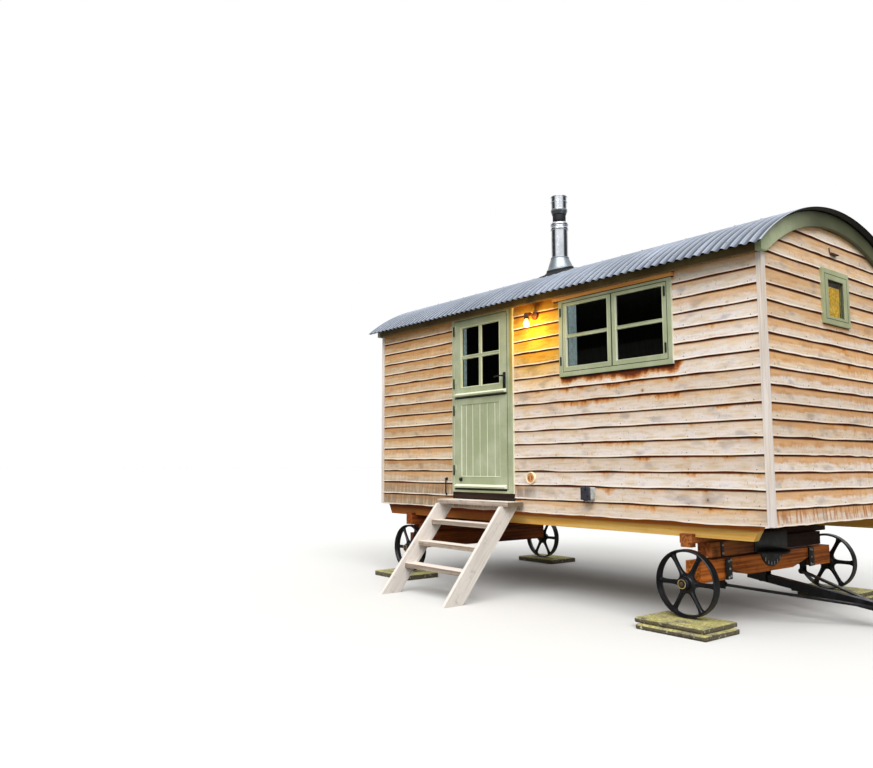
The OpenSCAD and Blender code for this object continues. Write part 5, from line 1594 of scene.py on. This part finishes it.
# %% One cast wheel
def spoke(angle):
    """A spoke: width 2a and depth 2b swell near both ends, a = 17 mm + 22 mm exp(-(r - 70)/18) + 16 mm
    exp(-(236 - r)/14); a rib of 8 mm runs down its middle on both sides."""
    r = np.concatenate([np.linspace(0.062, 0.1, 8), np.linspace(0.115, 0.2, 6), np.linspace(0.21, 0.24, 7)])
    swell = np.exp(-(r - 0.07) / 0.018), np.exp(-(0.236 - r) / 0.014)
    a = 0.017 + 0.012 * np.minimum(swell[0], 1.2) + 0.013 * swell[1]
    b = 0.0055 + 0.004 * np.minimum(swell[0], 1.2) + 0.003 * swell[1]
    rib = np.full_like(r, 0.0128)
    outline = [(1, -1, 0), (1, 1, 0), (0.42, 1, 0), (0.2, 0, 1), (-0.2, 0, 1), (-0.42, 1, 0)]
    outline += [(-u, -v, -w) for u, v, w in outline]
    rings = np.stack([np.stack([r, u * a, v * b + w * rib], axis=-1) for u, v, w in outline], axis=1)
    c, d = np.cos(angle), np.sin(angle)
    return carried(rings).turned([(c, d, 0), (-d, c, 0), (0, 0, 1)])


RIM = [(0.2535, -0.038), (0.2575, -0.035), (0.258, -0.030), (0.258, 0.030), (0.2575, 0.035),
       (0.2535, 0.038), (0.2480, 0.0378), (0.2460, 0.034), (0.2448, 0.024), (0.2400, 0.015), (0.2362, 0.008),
       (0.2362, -0.008), (0.2400, -0.015), (0.2448, -0.024), (0.2460, -0.034), (0.2480, -0.0378)]
HUB = [(0.0225, -0.060), (0.0425, -0.060), (0.0450, -0.0575), (0.0455, -0.050), (0.0475, -0.034),
       (0.0500, -0.020), (0.0560, -0.0145), (0.0700, -0.0125), (0.0755, -0.010), (0.0760, 0.010),
       (0.0755, 0.010), (0.0700, 0.0125), (0.0560, 0.0145), (0.0500, 0.020), (0.0475, 0.034), (0.0455, 0.050),
       (0.0450, 0.0575), (0.0425, 0.060), (0.0225, 0.060)]
upright = [(1, 0, 0), (0, 0, 1), (0, -1, 0)]


def wheel(name, node_name, body):
    """A whole wheel where the node stands, its axle along Y."""
    low, high = node_box(node_name)
    x, y, z = (low + high) / 2
    shapes = [turned_shape(RIM, 96), turned_shape(HUB, 48)] + [spoke(np.radians(60 * i)) for i in range(6)]
    shapes = [part.turned(upright).moved(x, y, z) for part in shapes]
    piece(name, shapes, iron, body, crease=32, stands_for=[node_name])
    return x, y, z


hubs = {n: wheel("cast_" + n, "wheel_" + n, n + "_wheel")
        for n in ("front_near", "front_far", "rear_near", "rear_far")}
print("hubs:", {k: np.round(v, 3).tolist() for k, v in hubs.items()})

# %% [markdown]
# A cap closes each hub: a black cup, a dull brass ring round it and a six-sided nut in its middle. They
# stand still with the axle while the wheel turns, so they ride on the axle's body.

# %% Axle caps
cap = turned_shape([(0, 0.0), (0.0365, 0.0), (0.0375, 0.002), (0.0365, 0.0118), (0.030, 0.0128),
                    (0.0225, 0.0125), (0.0225, 0.0095), (0, 0.0095)], 40)
ring = turned_shape([(0.0305, 0.0), (0.0355, 0.0), (0.0350, 0.0018), (0.0330, 0.0024), (0.0310, 0.0018)], 40)
nut = turned_shape([(0, 0.0), (0.0195, 0.0), (0.0195, 0.0085), (0.0165, 0.0095), (0, 0.0095)], 6)
for name, body in (("front", "fore_carriage"), ("rear", "hut")):
    caps, nuts, rings = [], [], []
    for side, end in ((-1, "near"), (1, "far")):
        x, y, z = hubs[name + "_" + end]
        rows = [(1, 0, 0), (0, 0, -1), (0, side, 0)]
        caps.append(cap.turned(rows).moved(x, y + side * 0.06015, z))
        nuts.append(nut.turned(rows).moved(x, y + side * 0.0692, z))
        rings.append(ring.turned(rows).moved(x, y + side * 0.0722, z))
    piece(name + "_axle_caps", caps, iron, body)
    piece(name + "_axle_nuts", nuts, old_nail, body)
    piece(name + "_axle_rings", rings, brass, body)

# %% [markdown]
# Under the front end, iron straps hold the axle beam, a toothed quadrant hangs behind them, and the
# turntable's plate carries the bolster. The bolts through them are zinc plated and catch the light.

# %% Straps, bolts and the teeth of the quadrant
bolt = dome(0.0105, 0.010, 12).turned(TO_RIGHT)
front_x = hubs["front_near"][0]
strap_x = front_x + 0.0800
bolts = [bolt.moved(strap_x, side * (0.678 + across), z) for side in (-1, 1)
         for across, z in ((-0.015, 0.487), (0.015, 0.480), (0.0, 0.417), (-0.015, 0.358), (0.015, 0.350))]
teeth = []
quadrant_z, quadrant_radius = 0.5, 0.19
for y in (-0.12, -0.072, -0.024, 0.024, 0.072, 0.12):
    arc_z = quadrant_z - np.sqrt(quadrant_radius ** 2 - y * y)
    teeth.append(block((front_x + 0.0748, y - 0.005, arc_z + 0.085),
                       (front_x + 0.081, y + 0.005, arc_z + 0.115), 0.002, axis=2))
covers = [block((front_x + 0.0772, y - 0.047, 0.3360), (strap_x, y + 0.047, 0.4990), 0.001, axis=2)
          for y in (-0.6875, 0.6875)]
piece("strap_covers", covers, iron, "fore_carriage")
piece("strap_bolts", bolts + teeth, bright_zinc, "fore_carriage")

# %% Turntable plate, packer and bolster bolts
foot_block = block((front_x - 0.085, -1.099, 0.605), (front_x + 0.012, -1.038, 0.6348), 0.003, axis=0)
piece("bearer_packer", [foot_block], bolster_wood, "hut")
# The turntable plate is black iron; its black also stands as painted shade under the hut's front end
turntable = [block((front_x + 0.0625, -0.27, 0.5225), (front_x + 0.0725, 0.27, 0.6795), 0.003, axis=1),
             block((front_x + 0.0222, -0.27, 0.6355), (front_x + 0.0622, 0.27, 0.6795), 0.003, axis=1),
             block((front_x + 0.0625, -0.775, 0.5215), (front_x + 0.0705, -0.735, 0.636), 0.002, axis=2)]
piece("turntable_plate", turntable, iron, "hut")
clip_marks = [bolt.moved(front_x + 0.0706, -0.755, z) for z in (0.545, 0.61)]
piece("bolster_bolts", clip_marks, bright_zinc, "hut")

# %% [markdown]
# ## Slabs under the wheels
# Each wheel stands on old paving slabs. A slab's sawn box is carried along its length with its section
# pushed in and out by a few sines, most at the edges, where such slabs chip.


# %% Rough slab
def rough_slab(low, high, wear=0.006):
    """A worn slab: rings along X whose points move inwards by wear times three sines of place, never
    outwards."""
    low, high = np.array(low), np.array(high)
    centre, size = (low + high) / 2, high - low
    section = []
    for (y0, z0), (y1, z1), count in (((-1, -1), (1, -1), 26), ((1, -1), (1, 1), 5), ((1, 1), (-1, 1), 26),
                                      ((-1, 1), (-1, -1), 5)):
        k = np.linspace(0, 1, count, endpoint=False)[:, None]
        section.append(np.array([y0, z0]) * (1 - k) + np.array([y1, z1]) * k)
    section = np.concatenate(section)
    stations = np.concatenate([[-1, -0.995], np.linspace(-0.97, 0.97, 30), [0.995, 1]])
    pull = np.where(np.abs(stations) == 1, 0.0075, np.where(np.abs(stations) > 0.98, 0.002, 0.0))
    x = np.repeat((stations * size[0] / 2)[:, None], len(section), axis=1)
    y = section[None, :, 0] * (size[1] / 2 - pull[:, None])
    z = section[None, :, 1] * (size[2] / 2 - pull[:, None])
    corner = (np.abs(section[:, 0]) ** 30 * np.abs(section[:, 1]) ** 6)[None]
    seed = chance.uniform(0, 9, 3)
    rough = np.sin(x * 61 + seed[0] + y * 23) + np.sin(y * 71 + seed[1] + z * 40)
    rough = rough + np.sin((x - y) * 137 + seed[2])
    inward = wear * (0.35 + 0.65 * (rough / 6 + 0.5)) * (0.25 + 0.9 * corner)
    top = np.where(section[None, :, 1] < -0.99, 0.0, 1.0)
    y = y - np.sign(y) * np.minimum(inward, np.abs(y))
    z = z - section[None, :, 1] * inward * top * 0.8
    return carried(np.stack([x, y, z], axis=-1) + centre)


slab_shapes = []
half = 0.225
for side in (-1, 1):
    y = side * 1.215
    slab_shapes.append(rough_slab((1.437, y - half, 0.0402), (2.037, y + half, 0.080), 0.010))
    slab_shapes.append(rough_slab((1.477, y - half + side * 0.04, 0.0),
                                  (2.077, y + half + side * 0.04, 0.0400), 0.010))
    y = side * 1.149
    slab_shapes.append(rough_slab((-2.228, y - half, 0.0), (-1.628, y + half, 0.055), 0.008))
piece("paving_slabs", slab_shapes, stone, "hut", crease=60, stands_for=["wheel_slabs"])

# %% [markdown]
# Two last touches to the timber: a packer of brown wood under the right end of the top step, and a small
# bevel on every sawn edge, since an edge without one takes no light. A weld first joins the loose faces
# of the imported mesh.

# %% A packer under the right end of the top step
step_low, step_high = node_box("stair_tread_1")
packer = block((step_high[0] - 0.105, step_low[1] + 0.004, step_low[2] - 0.019),
               (step_high[0] - 0.067, step_low[1] + 0.130, step_low[2] - 0.0004), 0.003, axis=1)
piece("stair_packer", [packer], rear_beam_wood, "hut")

# %% Soften the arrises of the sawn timber
STEPS = ["stair_tread_" + str(count) for count in (1, 2, 3, 4)]
EDGES = {0.0015: ["lower_leaf", "upper_leaf"],
         0.002: ["corner_posts", "door_frame", "window_frame", "window_casements", "eaves_boards",
                 "window_cap", "gable_window_frames", "drawbar"],
         0.003: ["stair_stringers", "bargeboards", "rear_axle"] + STEPS,
         0.004: ["chassis_rails"]}
for width, names in EDGES.items():
    for name in names:
        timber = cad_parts[name]
        merge = timber.modifiers.new("merge", "WELD")
        merge.merge_threshold = 0.00002
        ease = timber.modifiers.new("ease", "BEVEL")
        ease.width = width
        ease.segments = 2
        ease.limit_method = "ANGLE"
        ease.angle_limit = np.radians(40)
print("eased edges on", sum(len(names) for names in EDGES.values()), "nodes")

# %% [markdown]
# ## Camera
# The camera stands where the photographer stood, as found from the hut's straight edges: its height, its
# two angles and its lens. The lens is given as it was solved, in pixels of the photograph's width.

# %% Camera
camera = bpy.data.objects.new("camera", bpy.data.cameras.new("camera"))
bpy.context.scene.collection.objects.link(camera)
PHOTO_WIDTH, LENS_PIXELS = 873, 769.57
camera.data.sensor_width = 36.0
camera.data.lens = 36.0 * LENS_PIXELS / PHOTO_WIDTH
camera.location = hut(5.259, -6.432, 1.226)
yaw, pitch_up = np.radians(51.478), np.radians(6.177)
ahead = Vector((-np.sin(yaw) * np.cos(pitch_up), np.cos(yaw) * np.cos(pitch_up), np.sin(pitch_up)))
camera.rotation_mode = "QUATERNION"
camera.rotation_quaternion = ahead.to_track_quat("-Z", "Y")
bpy.context.scene.camera = camera

# %% [markdown]
# ## Studio
# The hut stands on a plain pale floor, under an even white sky and two broad lamps, one for each side
# that the camera sees. The floor that the camera sees is pale, and what it throws back onto the hut is a
# mid grey, as grass or gravel would, so the undercarriage keeps its depth. The camera, gloss and glass
# see a white backdrop.

# %% Floor
floor_mesh = bpy.data.meshes.new("studio_floor")
reach = 400.0
floor_mesh.from_pydata([(-reach, -reach, 0), (reach, -reach, 0), (reach, reach, 0), (-reach, reach, 0)], [],
                       [(0, 1, 2, 3)])
studio_floor = bpy.data.objects.new("studio_floor", floor_mesh)
bpy.context.scene.collection.objects.link(studio_floor)
floor_paint, tree = blank("pale_studio_floor")
path = node(tree, "LightPath")
pale = node(tree, "BsdfDiffuse", {"Color": ink("#dadad8")})
dull = node(tree, "BsdfDiffuse", {"Color": ink("#85857f")})
floor_look = node(tree, "MixShader", {0: path.outputs["Is Camera Ray"], 1: dull.outputs[0],
                                      2: pale.outputs[0]})
node(tree, "OutputMaterial", {"Surface": floor_look.outputs[0]})
floor_mesh.materials.append(floor_paint)

# %% Sky and backdrop
world = bpy.data.worlds.new("soft_studio")
bpy.context.scene.world = world
world.use_nodes = True
tree = world.node_tree
tree.nodes.clear()
path = node(tree, "LightPath")
seen = Value(tree, path.outputs["Is Camera Ray"]).step("MAXIMUM", path.outputs["Is Transmission Ray"])
heading = node(tree, "SeparateXYZ", {0: node(tree, "TexCoord").outputs["Generated"]}).outputs
east, north, rise = [Value(tree, part) for part in heading]
sky = node(tree, "Background", {"Color": ink("#ffffff"), "Strength": rise.ramp(-0.1, 0.9, 0.36, 0.95)})
# Metal sees two broad white screens, one on the camera's side and one behind the hut, and dark between them
beside = (east * 0.741 + north * 0.671).step("ABSOLUTE")
screens = beside.ramp(0.92, 0.7).step("MAXIMUM", rise.ramp(0.35, 0.75))
gloss = node(tree, "Background", {"Color": ink("#ffffff"), "Strength": screens.ramp(0.0, 1.0, 0.04, 1.0)})
backdrop = node(tree, "Background", {"Color": ink("#ffffff"), "Strength": 1.0})
both = node(tree, "MixShader", {0: seen, 1: sky.outputs[0], 2: backdrop.outputs[0]})
all_rays = node(tree, "MixShader", {0: path.outputs["Is Glossy Ray"], 1: both.outputs[0],
                                    2: gloss.outputs[0]})
node(tree, "OutputWorld", {"Surface": all_rays.outputs[0]})


# %% [markdown]
# Two broad suns light the two sides that the camera sees, softly enough that edges cast no hard shadow. A
# small warm lamp stands at the lit bulb.


# %% Lamps
def broad_sun(name, heading, strength, spread):
    """Parallel light along a heading, as soft as a lamp that fills `spread` degrees of the sky."""
    data = bpy.data.lights.new(name, "SUN")
    data.energy = strength
    data.angle = np.radians(spread)
    lamp = bpy.data.objects.new(name, data)
    lamp.rotation_mode = "QUATERNION"
    lamp.rotation_quaternion = Vector(heading).to_track_quat("-Z", "Y")
    bpy.context.scene.collection.objects.link(lamp)
    return lamp


broad_sun("front_light", (-0.4, 1.0, -0.95), 1.7, 35)
broad_sun("end_light", (-1.0, 0.35, -1.1), 1.5, 35)
lamp_light = bpy.data.lights.new("lamp_light", "POINT")
lamp_light.energy = 4.6
lamp_light.color = ink("#ffca4c")[:3]
lamp_light.shadow_soft_size = 0.03
lit = bpy.data.objects.new("lamp_light", lamp_light)
lit.location = hut(lamp_x, lamp_y - 0.02, lamp_z - 0.105)
bpy.context.scene.collection.objects.link(lit)
bpy.context.scene.view_settings.view_transform = "Standard"
